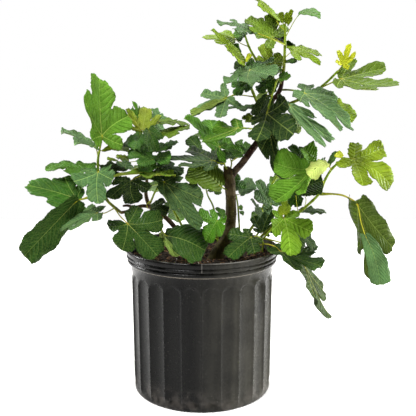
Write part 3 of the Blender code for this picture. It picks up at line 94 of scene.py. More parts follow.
class Tone(Enum):
    """The leaves' tones: partly their own colours by age, and partly painted light and shade, darker tones
    for leaves in shade and lighter ones for lit leaves.
    """

    NIGHT = LeafTone("#12280a", "#2a4a16")
    DARK = LeafTone("#1c3a0c", "#34561a")
    DUSKY = LeafTone("#2b4222", "#4c6434")
    DEEP = LeafTone("#2c5416", "#42661f")
    MID = LeafTone("#3b6614", "#50721f")
    BRIGHT = LeafTone("#4a731a", "#5e7a1f")
    FRESH = LeafTone("#5c8117", "#6c831b", 0.9)
    GREY = LeafTone("#46663a", "#5a7040")
    BLUE = LeafTone("#4a683e", "#5b7245")
    # Painted shade: a leaf's colour darkened for the shade that it hangs in.
    SLATE = LeafTone("#3f5f35", "#4a6236")
    INK = LeafTone("#1a2a0e", "#263813")
    MOSS = LeafTone("#3c4f14", "#46571c")
    OLIVE = LeafTone("#4a6211", "#63701e")
    SAGE = LeafTone("#6c8138", "#728240", 0.5)
    SPRING = LeafTone("#698218", "#6e831e", 0.7)
    LIME = LeafTone("#6d8311", "#708414", 0.9)
    YELLOW = LeafTone("#acb31c", "#a8b022", 0.15)
    PALE = LeafTone("#a6b35c", "#9cab58", 0.3)
    VIVID = LeafTone("#38660c", "#426c12")


@dataclass(frozen=True)
class Plan:
    """A flat leaf's outline. The midrib runs from the stalk at 0, 0 to the tip at 1, 0.

    Attributes:
        lobes: turn from the midrib in degrees, reach and half width, middle lobe first.
        clefts: turn and reach of the clefts between neighbouring lobes.
        heel: turn and reach of the places that lead round to the stalk.
        notch: how far the blade reaches behind the stalk's end.
    """

    lobes: tuple[tuple[float, float, float], ...]
    clefts: tuple[tuple[float, float], ...]
    heel: tuple[tuple[float, float], ...]
    notch: float = -0.05


class Form(Enum):
    """How many lobes a leaf has."""

    FIVE = Plan(
        lobes=((0, 1.00, 0.250), (50, 0.84, 0.220), (104, 0.54, 0.150)),
        clefts=((25, 0.45), (77, 0.30)),
        heel=((150, 0.20),),
    )
    THREE = Plan(
        lobes=((0, 1.00, 0.260), (52, 0.80, 0.225)),
        clefts=((27, 0.52),),
        heel=((105, 0.38),),
    )
    OVAL = Plan(
        lobes=((0, 1.00, 0.320),),
        clefts=(),
        heel=((47, 0.42), (105, 0.17)),
    )


FIVE, THREE, OVAL = Form.FIVE, Form.THREE, Form.OVAL


@dataclass(frozen=True)
class Leaf:
    """One leaf.

    Attributes:
        form: how many lobes it has.
        tone: its colours.
        base: the place where its stalk meets the blade.
        reach: the places that its lobes reach, by the lobe's name.
        stalk: the places that its stalk passes on its way to the base.
        fuller: how much wider than usual its lobes are.
    """

    form: Form
    tone: Tone
    base: Place
    reach: dict[str, Place]
    stalk: tuple[Place, ...] = ()
    fuller: float = 1.0


@dataclass(frozen=True)
class Stem:
    """A stem's way, with its radius in millimetres at its start and at its end."""

    way: tuple[Place, ...]
    radius: tuple[float, ...]


class Start(Enum):
    """What a leafy stem grows out of."""

    SOIL = "soil"
    WOOD = "wood"


@dataclass(frozen=True)
class Shoot:
    """A leafy stem: what it grows out of, its own stems and its leaves."""

    start: Start
    stems: tuple[Stem, ...]
    leaves: tuple[Leaf, ...]


TRUNK: tuple[Stem, ...] = (
    Stem(((213, 261, 2.2), (219, 252, 2), (226, 241, 1.5), (230, 228, 1), (231, 205, 1),
        (230, 185, 1), (228.5, 168, 1)), (11.5, 12.5, 11.5, 9.2, 8.6, 8.6, 8.2)),
    Stem(((231, 177, 1), (235, 171, 1), (242, 163, 1), (248, 155, 1), (258, 141, 0.8),
        (262, 130, 0.5), (267, 117, 0), (272, 101, -0.5), (277, 95.5, -0.5), (280.5, 88, -0.5),
        (282, 80, -0.5)), (5.6, 5.5, 5.3, 5.3, 5.2, 4.9, 4.6, 4.4, 4, 3.6, 3.3)),
)

LEFT_WOOD: tuple[Stem, ...] = (
    Stem(((198, 255, 0.6), (186, 245, 1.2), (176, 229, 1.8), (165, 217, 2.2), (155, 210.5, 2.4),
        (149, 205, 2.2), (146, 195, 1.6), (146.5, 185, 1), (147, 177, 0.6)),
        (4, 4, 3.9, 3.7, 3.4, 3.2, 3, 2.7, 2.5)),
    Stem(((150, 206.5, 2.3), (142, 206, 3), (133, 208.5, 3.6), (127, 211.5, 4), (121, 212.6, 4.4)),
        (2.8, 2.8, 2.6, 2.5, 2.5)),
    Stem(((134, 208, 3.5), (128, 205.5, 4), (123, 206, 4.4)), (2.3, 2.2, 1.6)),
)

SHOOTS: dict[str, Shoot] = {
    "left_shoot": Shoot(Start.WOOD, (
        Stem(((121, 212.6, 4.4), (113, 206, 4.9), (107, 200, 5.4), (103, 190, 5.8), (98.5, 172, 6),
            (98, 160, 6), (99.5, 150, 6)), (2.5, 1.8)),
    ), (
        Leaf(FIVE, Tone.BRIGHT, (102, 136, 7), dict(tip=(100, 77, 5), left=(83, 94, 9.5),
            right=(129, 118, 4.5), low_left=(94, 141, 9.5), low_right=(124, 143, 7)),
            ((99.5, 152, 6), (101, 144, 6.5)), fuller=1.06),
        Leaf(THREE, Tone.BLUE, (95, 147, 5.2), dict(tip=(62, 133, 1.5), left=(74, 142, 8),
            right=(70, 131, -1)), ((98.5, 157, 6),), fuller=0.85),
        Leaf(FIVE, Tone.SLATE, (98, 172.5, 7.5), dict(tip=(99, 205, 11), left=(113, 179, 9.5),
            right=(73, 180, 9.5), low_right=(82, 169, 8.6))),
        Leaf(THREE, Tone.MID, (92, 169.5, 4.2), dict(tip=(47, 169, 0.6), tip_left=(61, 176, 2.4),
            tip_right=(58, 163, -1.4), left=(76, 174, 5.6), right=(77, 166.5, -0.6))),
        Leaf(FIVE, Tone.DEEP, (77, 199.5, 3.5), dict(tip=(25, 185, 1), left=(58, 209, 6),
            right=(67, 177, 1), low_right=(80, 187, 1.5)), ((103, 191, 5.6), (90, 196, 4.4)), fuller=1.15),
        Leaf(OVAL, Tone.DARK, (75.5, 202, 8), dict(tip=(25, 256, 11.5), left=(55, 240, 8),
            right=(38, 220, 10.5)), ((104, 194, 5.8), (90, 197.5, 7)), fuller=0.85),
        Leaf(FIVE, Tone.BLUE, (97, 213, 7.5), dict(tip=(62, 229, 10.5), left=(71, 230.5, 13),
            right=(86, 208, 6), low_right=(102, 206, 5.6)), ((115, 208, 4.8), (105, 213, 6.6))),
        Leaf(FIVE, Tone.DARK, (128, 224, 8.5), dict(tip=(157, 256, 11.5), left=(163, 219, 9.5),
            right=(122, 250, 12.5), low_left=(137, 205, 6.8), low_right=(108, 225, 7)),
            ((113, 207, 5), (120, 216, 6.8))),
        Leaf(THREE, Tone.NIGHT, (102, 171.5, 5.2), dict(tip=(131, 166, 0.5), left=(114, 163, 0),
            right=(112, 179, 4.5))),
        Leaf(OVAL, Tone.LIME, (103, 150.5, 5.2), dict(tip=(115, 145, 5.6), left=(108, 145.5, 5.2),
            right=(110, 149.5, 4.6))),
        Leaf(FIVE, Tone.MID, (105, 129, 3.5), dict(tip=(108, 134, -5.5), left=(94, 132, -1.5),
            right=(122, 131, -2.5), low_left=(98, 128, 3), low_right=(115, 127, 2.5)),
            ((98.5, 155, 6), (101, 142, 4.5))),
    )),
    "left_middle": Shoot(Start.WOOD, (
        Stem(((147, 177, 0.6), (146.7, 168, 0.3), (143.5, 152, 0), (142.5, 142, 0), (141, 131, 0)),
            (2.5, 1.7)),
    ), (
        Leaf(FIVE, Tone.NIGHT, (131, 181, 3), dict(tip=(136, 203, 4.6), left=(148, 190, 3),
            right=(109, 199, 6.5), low_left=(150, 177, 1), low_right=(113, 181, 4.5)),
            ((147, 172, 0.5), (140, 176, 2.2))),
        Leaf(THREE, Tone.OLIVE, (168, 175, 7), dict(tip=(114, 177, 9.5), left=(143, 177, 12.5),
            right=(140, 171.5, 6.5)), ((147, 172, 0.5), (158, 174, 5)), fuller=0.65),
        Leaf(FIVE, Tone.OLIVE, (142, 130, 0.6), dict(tip=(146, 107.5, -2.5), left=(159.5, 114.5, 1.5),
            right=(130, 111, 1), low_left=(153, 127, 2), low_right=(130, 125, 1.6)), fuller=0.85),
        Leaf(THREE, Tone.MID, (138, 119, -1), dict(tip=(132.5, 101.5, -3), left=(131, 109, -1),
            right=(140, 107, -3)), ((141, 132, 0), (140, 125, -0.8)), fuller=0.8),
        Leaf(OVAL, Tone.LIME, (134, 120, 3.5), dict(tip=(127, 109, 4.5), left=(128.5, 114.5, 5),
            right=(132, 113, 3.8)), ((138.5, 128, 2.6),)),
        Leaf(OVAL, Tone.LIME, (151, 117, -1.5), dict(tip=(142, 108, -3), left=(145, 112.5, -2),
            right=(148, 110.5, -3)), ((141.5, 133, 0), (148, 124, -1))),
        Leaf(THREE, Tone.GREY, (158, 122, -5.5), dict(tip=(154, 108.5, -8), left=(149, 115, -6),
            right=(164.5, 116, -8)), ((142, 136, 0), (152, 131, -4))),
        Leaf(THREE, Tone.OLIVE, (159, 121.5, -0.8), dict(tip=(188, 125.5, -0.2), left=(174, 120, -4),
            right=(172, 125, 2.5)), ((142, 137, 0), (151, 131, 1))),
        Leaf(THREE, Tone.OLIVE, (163, 132.5, 0.8), dict(tip=(190, 126.5, 2), left=(177, 127, -2),
            right=(176, 136, 4.5)), ((142.3, 139, 0), (152, 136, 1.6))),
        Leaf(THREE, Tone.BLUE, (163, 132, -4), dict(tip=(149, 127.5, -3), left=(156, 132, -2),
            right=(157, 120.5, -6)), ((142.5, 140, 0), (153, 136.5, -2.6))),
        Leaf(THREE, Tone.DARK, (149, 131, 3.6), dict(tip=(157, 152, 7.5), left=(163, 139, 6.5),
            right=(146, 147, 8)), ((142.3, 140, 0), (145.5, 135.5, 2.4))),
        Leaf(THREE, Tone.DEEP, (158, 151, 0), dict(tip=(178, 142.5, -3), left=(165, 143, -4),
            right=(171, 149, 1.5)), ((143.5, 152, 0), (151, 152, 0))),
        Leaf(OVAL, Tone.DEEP, (140, 134, 1.5), dict(tip=(134, 150.5, 7), left=(143, 143, 6),
            right=(133, 139, 3.5))),
        Leaf(OVAL, Tone.DARK, (135, 148, -1), dict(tip=(126.5, 141, -1), left=(127, 146.5, 1),
            right=(133, 138, -2.5)), ((143.3, 152, 0), (139, 150.5, -1.6))),
        Leaf(THREE, Tone.DEEP, (148.5, 143, 0.9), dict(tip=(131, 157, 3.5), left=(149, 155.5, 4.5),
            right=(131, 144.5, 0.8)), ((142.7, 147, 0), (147, 144.5, 0.4))),
        Leaf(OVAL, Tone.LIME, (117, 157, 3.5), dict(tip=(129, 159.5, 5), left=(123, 156, 4),
            right=(123, 161, 5.5)), ((144, 154, 0.1), (130, 157, 1.8))),
        Leaf(OVAL, Tone.SAGE, (128, 150, 0), dict(tip=(110, 146, -1), left=(118, 150.5, 2),
            right=(119, 143, -3)), ((143, 148, 0),)),
        Leaf(OVAL, Tone.LIME, (117, 161, 3), dict(tip=(107, 158.5, 3), left=(112, 161, 4.5),
            right=(112, 158.6, 2)), ((145, 160, 0.2), (130, 162, 1.5))),
        Leaf(THREE, Tone.DEEP, (153, 160, 6.5), dict(tip=(128, 155, 9), left=(138, 165, 12),
            right=(143, 151, 6.5)), ((147, 169, 0.4), (151, 166, 4))),
        Leaf(OVAL, Tone.DEEP, (154, 160, 4.5), dict(tip=(171, 158.5, 6.5), left=(163, 152.5, 2.6),
            right=(161, 163, 7.5)), ((146.6, 166, 0.4), (151.5, 163.5, 2.6))),
        Leaf(OVAL, Tone.MID, (156, 165, 5), dict(tip=(138, 169, 8), left=(149, 173, 8.5),
            right=(147, 163, 4.6)), ((146.8, 168, 0.4), (153, 168, 3))),
        Leaf(THREE, Tone.DARK, (158, 168, 1.4), dict(tip=(184, 173, 1), left=(171, 162, -2),
            right=(164, 177, 2.2)), ((147, 171, 0.5), (152, 170, 1))),
        Leaf(THREE, Tone.GREY, (125, 167, 4.5), dict(tip=(128, 160.5, 8.5), left=(118, 161, 5),
            right=(133, 166, 4.5)), ((146.5, 168, 0.3), (136, 168.5, 2.6))),
        Leaf(FIVE, Tone.MID, (149, 166, -3), dict(tip=(146, 172, -12), left=(131, 171, -8),
            right=(165, 169, -8), low_left=(134, 166, -2.5), low_right=(162, 165, -2.5)),
            ((146.5, 167, 0.3),)),
    )),
    "left_inner": Shoot(Start.WOOD, (
        Stem(((149, 205, 2.2), (152, 199, 3.4), (154.5, 193, 4), (159, 186, 4.6)), (1.8, 1.3)),
    ), (
        Leaf(FIVE, Tone.DUSKY, (164, 182, 6.6), dict(tip=(198, 232, 12.5), left=(202, 199, 8.5),
            right=(172, 206, 10.5), low_left=(182, 176, 4.8))),
        Leaf(THREE, Tone.NIGHT, (151, 209, 4.8), dict(tip=(168, 212.5, 6.5), left=(165, 200, 4.4),
            right=(157, 218, 8)), ((151.5, 200, 3.2), (147, 204, 4.4), (148, 208.5, 4.8))),
    )),
    "left_low": Shoot(Start.WOOD, (
        Stem(((163.5, 216, 2.2), (160.5, 223, 4), (162, 231, 5.5)), (1.7, 1.3)),
    ), (
        Leaf(OVAL, Tone.DARK, (167, 236, 6.5), dict(tip=(205, 252, 10.8), left=(193, 227, 6),
            right=(181, 254, 11.2)), fuller=0.92),
        Leaf(OVAL, Tone.SAGE, (162, 234, 8.6), dict(tip=(177.5, 256, 12.4), left=(173, 245, 12),
            right=(167, 247, 11)), fuller=0.65),
    )),
    "centre": Shoot(Start.SOIL, (
        Stem(((218, 250, -3), (217.5, 235, -3), (216, 220, -2.6), (213, 206, -2.2), (208, 196, -2),
            (206, 189, -1.8)), (1.8, 1.1)),
    ), (
        Leaf(FIVE, Tone.VIVID, (217, 221, 5.5), dict(tip=(206, 241, 10.5), left=(222, 235, 8.5),
            right=(199, 212, 8), low_left=(227, 217, 4), low_right=(210, 210, 4.5)),
            ((217.8, 240, -3), (213, 236, 0), (213, 227, 3.5))),
        Leaf(THREE, Tone.MID, (213, 187, -0.5), dict(tip=(219, 195, 1), left=(222, 188, -0.8),
            right=(210, 192, 1.2)), ((207, 192, -1.9), (210, 188, -1.2))),
        Leaf(THREE, Tone.MID, (222.5, 217, -4), dict(tip=(215.5, 208, -2.8), left=(217, 214, -2.2),
            right=(223, 209, -4))),
    )),
    "trunk_leaf": Shoot(Start.WOOD, (
        Stem(((230, 190, 1), (225, 189, 1.8), (221.5, 187, 2.8)), (1.4, 1.2)),
    ), (
        Leaf(OVAL, Tone.OLIVE, (220, 186, 3.2), dict(tip=(191, 165.5, 3), left=(199, 184, 6.5),
            right=(212.5, 161, -0.5))),
    )),
    "behind_trunk": Shoot(Start.SOIL, (
        Stem(((240, 244, -4), (239.5, 230, -3.8), (238.5, 214, -3.4), (237.8, 205, -3.2), (236, 195, -3.2)),
            (1.9, 1.2)),
    ), (
        Leaf(OVAL, Tone.BLUE, (240.5, 193.5, -3.6), dict(tip=(255, 183.5, -6), left=(243, 182, -7.5),
            right=(249, 191.5, -2))),
        Leaf(THREE, Tone.DEEP, (234, 186, -3.4), dict(tip=(246.5, 187.5, -3.5), left=(238, 173.5, -5.5),
            right=(237, 190, -2))),
        Leaf(OVAL, Tone.DARK, (228, 187, -3), dict(tip=(221.5, 175, -4), left=(221.5, 183, -2.6),
            right=(228, 178, -4.5))),
        Leaf(OVAL, Tone.MID, (239.6, 208, -2.6), dict(tip=(243, 207, -1), left=(240, 206, -2.4),
            right=(241, 210, -1.2))),
        Leaf(OVAL, Tone.MID, (239.8, 212, -3.2), dict(tip=(244, 213.5, -3.6), left=(242, 211.2, -4.2),
            right=(241.5, 214.5, -3))),
    )),
    "cut_left": Shoot(Start.WOOD, (
        Stem(((228.5, 171, 1), (225, 166, 2.4), (224, 161, 3), (221.5, 153, 3.6)), (1.4, 1.2)),
    ), (
        Leaf(FIVE, Tone.VIVID, (219.5, 147, 3.6), dict(tip=(184, 118, 4.5), left=(203, 139, 7.5),
            right=(210, 121, -1.5), low_right=(232.5, 141, -1.5))),
        Leaf(FIVE, Tone.DUSKY, (212, 160.5, 1.8), dict(tip=(167, 158, 2), left=(180, 164, 7.5),
            right=(187, 150.5, -3), low_left=(204, 171, 5.6), low_right=(215, 144.5, -4)),
            ((224, 163, 2.6), (219, 163, 2.4)), fuller=0.8),
        Leaf(OVAL, Tone.BLUE, (222.5, 164, 0.8), dict(tip=(211.5, 158.5, -1.2), left=(217, 163.5, 0.2),
            right=(218.5, 156.5, -1.8)), ((224, 163, 2.6),)),
        Leaf(OVAL, Tone.DARK, (199.5, 149, -6), dict(tip=(189, 137, -7), left=(190, 147, -5.5),
            right=(198.5, 141, -7.5)), ((224.6, 164.5, 2.7), (216, 160, -3), (208, 154, -7))),
        Leaf(FIVE, Tone.MID, (212, 135, -6.5), dict(tip=(204, 140, -14), left=(194, 137, -10.5),
            right=(222, 140, -11), low_left=(200, 132, -6), low_right=(222, 134, -6.5)),
            ((223, 157, 3.3), (216.5, 146, -1.5), (213, 138, -4.6))),
    )),
    "cut_right": Shoot(Start.WOOD, (
        Stem(((229.5, 172, 1), (231.5, 164.5, -0.6), (231, 160, -1)), (1.4, 1.1)),
    ), (
        Leaf(THREE, Tone.MID, (242.5, 152.5, 2.6), dict(tip=(225, 149.5, 4.5), left=(234, 155.5, 7),
            right=(238, 140.5, 0.5)), ((231.3, 162, -0.8), (234, 160, 0.8))),
        Leaf(THREE, Tone.BLUE, (229.5, 158, -1.6), dict(tip=(225, 143, -3), left=(222, 153, -1.8),
            right=(238, 152, -3))),
        Leaf(OVAL, Tone.MID, (243, 153, -1.5), dict(tip=(251, 145, -3), left=(243, 145.5, -4),
            right=(249, 151, -1)), ((231.2, 161, -1), (237, 157, -1.4))),
    )),
    "front_leaf": Shoot(Start.WOOD, (
        Stem(((281, 84, -0.5), (278, 79, 1.5), (274.5, 88, 3.2), (271, 99, 3.8), (268, 108, 3.9)),
            (1.6, 1.4)),
    ), (
        Leaf(FIVE, Tone.NIGHT, (267, 113.5, 4), dict(tip=(295, 135, 9), left=(285, 98, 3.2),
            right=(255, 141, 9), low_left=(271, 99, 2.6), low_right=(250, 121, 5.6))),
        Leaf(OVAL, Tone.NIGHT, (267, 96, 4.8), dict(tip=(258, 116, 5.4), left=(266.5, 108, 5.6),
            right=(254.5, 106, 4.6)), ((272, 96, 3.6),)),
    )),
    "fork": Shoot(Start.WOOD, (
        Stem(((263, 127, 0.4), (258, 128.5, 2), (250, 128.8, 4)), (1.5, 1.2)),
    ), (
        Leaf(FIVE, Tone.VIVID, (238, 128, 6.5), dict(tip=(203, 141, 10), left=(214, 125.5, 6.5),
            right=(214, 139, 12), low_left=(233.5, 119, 4)), ((251, 128.8, 3.8),)),
        Leaf(THREE, Tone.LIME, (252, 119.5, 2.6), dict(tip=(242, 118.5, 3.2), left=(246, 122, 5),
            right=(247, 113.5, 1.2)), ((255, 128.6, 2.7),)),
    )),
    "droop": Shoot(Start.WOOD, (
        Stem(((264.5, 123, 0.2), (268, 124, 1.6), (270, 128, 2)), (1.6, 1.3)),
    ), (
        Leaf(THREE, Tone.NIGHT, (270, 132, 2.6), dict(tip=(284, 179, 1.6), left=(282, 158, 3.6),
            right=(260, 151, 2))),
        Leaf(FIVE, Tone.MID, (273, 131, -4), dict(tip=(278, 140, -12.5), left=(262, 138, -8),
            right=(292, 135, -9), low_left=(265, 131, -3), low_right=(286, 127, -4)),
            ((268.5, 124.5, 1.7), (273.5, 125, 0.4), (274, 128, -2.6))),
        Leaf(OVAL, Tone.SAGE, (286, 127.5, 1), dict(tip=(301, 128, 0), left=(295, 121.5, -1.2),
            right=(294, 131.5, 1.6)), ((268, 124, 1.6), (276, 126, 1.6))),
    )),
    "stem_a": Shoot(Start.WOOD, (
        Stem(((267, 118, 0.1), (263, 113, 0.8), (258, 104, 1.5), (252, 90, 2.2), (248, 80, 2.5),
            (244.5, 70, 2.5), (244, 62, 2.5)), (2.8, 1.6)),
    ), (
        Leaf(THREE, Tone.SPRING, (241.5, 61, 3.8), dict(tip=(211, 30, 6), left=(226.5, 50, 7.5),
            right=(231, 43.5, 2)), ((244.4, 69, 2.5), (244, 65, 3.6)), fuller=0.8),
        Leaf(OVAL, Tone.MID, (240.5, 60, 0.6), dict(tip=(233, 44.5, -1), left=(234, 53, 0),
            right=(239.5, 51, -1.5)), ((244, 65, 2.5),)),
        Leaf(OVAL, Tone.DARK, (243, 69, 2), dict(tip=(234, 66, 1), left=(238, 69.5, 1.8),
            right=(239, 63, 0.2))),
        Leaf(OVAL, Tone.YELLOW, (246, 61.5, 1.8), dict(tip=(251, 54, 1.4), left=(247, 56, 0.8),
            right=(250, 58.5, 1.8))),
        Leaf(OVAL, Tone.MID, (246, 68, 1.8), dict(tip=(255, 64, 0.5), left=(249, 60.5, 0),
            right=(251, 68.5, 2.2))),
        Leaf(FIVE, Tone.BLUE, (250, 70, 4.5), dict(tip=(254, 84, 11), left=(272, 77, 7.5),
            right=(227, 84, 8), low_left=(276, 59, 2), low_right=(233, 73, 3.5)),
            ((247, 77, 2.5), (249, 73, 3.4))),
        Leaf(THREE, Tone.DEEP, (248, 82, 2.6), dict(tip=(237, 96, 5), left=(248, 92, 5),
            right=(231, 86, 2.6))),
        Leaf(FIVE, Tone.BLUE, (226, 98, 3), dict(tip=(190, 113.5, 5), left=(220.5, 117, 7.5),
            right=(203, 94, 0.5), low_right=(223, 82.5, 0)),
            ((255, 97, 1.9), (240, 95, 2.2), (231, 96, 2.7)), fuller=0.6),
        Leaf(OVAL, Tone.SAGE, (225, 99, 3.3), dict(tip=(191.5, 114.5, 5.8), left=(209, 110, 5.2),
            right=(206, 105.5, 4.4)), ((231, 96, 2.7),), fuller=0.75),
        Leaf(THREE, Tone.DARK, (254, 108, 0.6), dict(tip=(228, 109.5, -3), left=(240, 110.5, 3),
            right=(240, 106.5, -6)), ((261, 110, 1),)),
    )),
    "stem_b": Shoot(Start.WOOD, (
        Stem(((272.5, 99.5, -0.5), (268, 88, -1.4), (262, 75, -2), (257, 62, -2.2), (250, 49, -2),
            (246.5, 40, -1.8), (245, 35, -1.8)), (2.6, 1.5)),
    ), (
        Leaf(FIVE, Tone.SPRING, (234, 39, -1), dict(tip=(202, 37, 0.5), left=(218, 43, 2),
            right=(222, 32.5, -4), low_left=(230, 45, 0.5), low_right=(234.5, 31.5, -3)),
            ((248.5, 47, -2), (241, 43.5, -1.5))),
        Leaf(OVAL, Tone.MID, (246, 32, -2), dict(tip=(236, 39, -1), left=(243, 37.5, 0),
            right=(238, 30.5, -3))),
        Leaf(THREE, Tone.DARK, (274, 79, -0.8), dict(tip=(258, 92, 0.4), left=(271, 93.5, 0),
            right=(258, 81, -2.6)), ((262, 75, -2), (268, 73.5, -1.7), (273.5, 75.5, -1.2))),
        Leaf(FIVE, Tone.MID, (262, 71, -6), dict(tip=(258, 78, -14), left=(244, 77, -10),
            right=(275, 74, -10.5), low_left=(250, 70, -5.5), low_right=(272, 69, -6)),
            ((259, 67, -2.1), (261, 69, -4))),
        Leaf(OVAL, Tone.SAGE, (266, 92, -1.6), dict(tip=(260, 102.5, -2), left=(265, 99, -1),
            right=(258.5, 95, -3)), ((269, 91, -1.2),)),
    )),
    "top": Shoot(Start.WOOD, (
        Stem(((282, 80, -0.5), (283.2, 73, -0.5), (284.2, 64, -0.4), (284.8, 50, -0.2), (285.2, 36, 0),
            (285, 24, 0)), (3.3, 1.6)),
    ), (
        Leaf(THREE, Tone.SPRING, (275, 19, -1.4), dict(tip=(254.5, -0.5, -5), left=(257, 5, 0.5),
            right=(267, 6, -6)), ((285, 31, 0), (280, 26, -0.6)), fuller=0.7),
        Leaf(FIVE, Tone.OLIVE, (273, 37, 1), dict(tip=(246, 19.5, 1), left=(250, 29, 6),
            right=(271, 15, -4), low_right=(288, 24, -3)), ((285, 44, 0), (278, 40.5, 0.5))),
        Leaf(THREE, Tone.BLUE, (251, 31, 3), dict(tip=(217, 23.5, 1), left=(234, 31, 6),
            right=(231, 20, -2)), ((285, 45, 0), (273, 39.5, 4), (262, 35, 4)), fuller=0.55),
        Leaf(OVAL, Tone.DARK, (284, 42, -0.6), dict(tip=(276, 36, -2.4), left=(279, 41, -1),
            right=(283, 33, -3))),
        Leaf(OVAL, Tone.LIME, (282.5, 22.5, 0.8), dict(tip=(281, 12, 0.5), left=(279, 18, 1),
            right=(283, 17, -0.2))),
        Leaf(THREE, Tone.LIME, (287, 23, -0.4), dict(tip=(293, 10.5, 1), left=(286, 12.5, -0.5),
            right=(292.5, 18.5, 1.8))),
        Leaf(OVAL, Tone.DARK, (287, 41, -0.8), dict(tip=(293.5, 48, -3), left=(292.5, 43, -1.6),
            right=(288, 46.5, -2.4))),
        Leaf(FIVE, Tone.SPRING, (294.5, 50, 1.2), dict(tip=(320, 54.5, 2), left=(311, 49.5, -3),
            right=(321, 64, 5), low_right=(299, 61, 4.2)), ((284.6, 58, -0.3), (290, 53, 0.6)), fuller=0.8),
        Leaf(OVAL, Tone.DARK, (286, 62, -0.2), dict(tip=(297, 60, 1.4), left=(291, 59.5, 0),
            right=(292, 63.5, 1.4))),
        Leaf(OVAL, Tone.MID, (299, 15, 1.2), dict(tip=(321, 19, 3.6), mid=(308, 11, 1.6),
            right=(307, 14, 5), left=(309, 8.6, -1.5)), ((285.2, 38, 0), (291, 27, 0.6), (295, 20, 1))),
        Leaf(THREE, Tone.SPRING, (272, 68, -0.6), dict(tip=(263, 43.5, -4), left=(280.5, 54, -3),
            right=(256, 59, -4.5)), ((284, 70, -0.4), (279, 72.5, -0.6), (274, 71.5, -0.7))),
        Leaf(OVAL, Tone.MID, (282, 73, 0.4), dict(tip=(286.5, 80, 2.4), left=(288, 75, 1),
            right=(279.5, 79, 2.2))),
        Leaf(OVAL, Tone.MID, (281, 69, 0.2), dict(tip=(272, 72, 1.6), left=(277, 74, 2.2),
            right=(275, 68, 0.4))),
    )),
    "right_mid": Shoot(Start.WOOD, (
        Stem(((281, 90, -0.5), (287, 89.8, 0.6), (295, 90.6, 1.4), (301, 92.2, 1.6)), (1.6, 1.3)),
    ), (
        Leaf(FIVE, Tone.BLUE, (305, 93.5, 1.8), dict(tip=(350, 127, 7), left=(335, 96, 0.5),
            right=(342, 132, 11.5), low_left=(310, 87, -1))),
        Leaf(OVAL, Tone.SPRING, (324, 98, 0.4), dict(tip=(354.5, 119, 3.2), left=(344, 104, 0.2),
            right=(337, 114, 3.6)), fuller=0.9),
    )),
    "right_upper": Shoot(Start.WOOD, (
        Stem(((271, 105.5, -0.4), (278, 107, -1), (287, 104.5, -1.4), (297, 100.5, -1.6), (305, 97, -1.6),
            (316, 91, -1.2), (328, 81, -0.6), (338, 71, 0)), (2.9, 1.9)),
    ), (
        Leaf(FIVE, Tone.BLUE, (289.5, 105, 0.4), dict(tip=(322, 146, 8), left=(331, 141, 4),
            right=(299, 123, 7.5), low_left=(320, 119, 0.4), low_right=(289, 107, 4.2)), fuller=1.05),
        Leaf(FIVE, Tone.OLIVE, (342, 79, 1.2), dict(tip=(398, 85, 3.5), tip_left=(378, 73.5, 0.5),
            tip_right=(382, 92, 5), left=(384, 72.5, -4.5), right=(372, 87, 9), low_left=(359, 55, -4),
            low_right=(344, 87, 6)), ((320, 88, -1), (330, 83.5, 0.2)), fuller=0.82),
        Leaf(FIVE, Tone.YELLOW, (343, 64, 0.4), dict(tip=(349, 44, -0.5), left=(338, 51, 0.8),
            right=(356, 52, 0.2), low_left=(336, 59, 1.6)), fuller=0.72),
    )),
    "right_lower": Shoot(Start.SOIL, (
        Stem(((249, 247, -5), (258, 239.5, -4), (272, 227, -1.4), (285, 220.5, 0.2), (298, 213, 1.2),
            (310, 203, 1.8), (319.5, 193, 2.2), (325, 180, 2.5), (331, 170, 2.8), (337, 164, 3),
            (343.5, 158, 3.2)), (2.6, 1.8)),
    ), (
        Leaf(FIVE, Tone.BRIGHT, (313, 167.5, 5.4), dict(tip=(274, 201, 9.5), left=(304, 192, 10.5),
            right=(273, 161.5, 6.4), low_right=(304, 144, 3), low_left=(322, 160, 4)),
            ((323, 183, 2.4), (319, 176, 4))),
        Leaf(OVAL, Tone.DARK, (297.5, 191, 3.6), dict(tip=(322.5, 181, 4.6), left=(309, 176, 2.6),
            right=(312, 194, 6.2)), ((298, 213, 1.2), (296.5, 202, 2.2))),
        Leaf(THREE, Tone.DARK, (301, 158, -0.6), dict(tip=(290, 146, -1.6), left=(288, 154, -0.4),
            right=(302, 147, -2.2)), ((322, 188, 2.3), (318, 176, 0.4), (312, 166, -0.8))),
        Leaf(OVAL, Tone.PALE, (326.5, 163.5, 5.2), dict(tip=(309, 177, 8), left=(322, 172.5, 8.5),
            right=(313, 163, 5)), ((330.5, 171, 2.8), (330, 167, 4.2))),
        Leaf(OVAL, Tone.MID, (329, 166, 3.6), dict(tip=(339, 153, 1.5), left=(331, 157, 1.2),
            right=(336, 159.5, 3.2))),
        Leaf(FIVE, Tone.LIME, (353.5, 159, 4.4), dict(tip=(391, 186, 7), left=(384, 146.5, 1.5),
            right=(363, 184, 9), low_left=(355, 143.5, 1.2), low_right=(338, 166, 6)), fuller=0.9),
        Leaf(OVAL, Tone.YELLOW, (342, 157, 4.2), dict(tip=(336, 153.5, 4.4), left=(337, 157, 5.4),
            right=(341, 152.5, 3.6))),
        Leaf(THREE, Tone.MOSS, (358, 204.5, 5.2), dict(tip=(377, 283, 8), left=(394, 248, 6),
            right=(363, 246, 2.5)), ((321, 194.5, 2.4), (332, 193.8, 3.4), (342, 195, 4), (351, 199, 4.6)),
            fuller=0.88),
        Leaf(OVAL, Tone.GREY, (366, 237, 7.6), dict(tip=(378, 284.5, 9.4), left=(387, 262, 8.4),
            right=(369, 263, 8.4)), ((321, 195, 2.4), (332, 194.4, 3.3), (342, 195.6, 3.8), (351, 199.6, 4.3),
            (357.6, 206, 5.4), (361, 222, 6.6)), fuller=0.9),
        Leaf(THREE, Tone.DARK, (301, 211, -1.2), dict(tip=(326, 213.5, -3), left=(313, 208, -6),
            right=(313, 214, -0.5)), ((296, 214.5, 1),)),
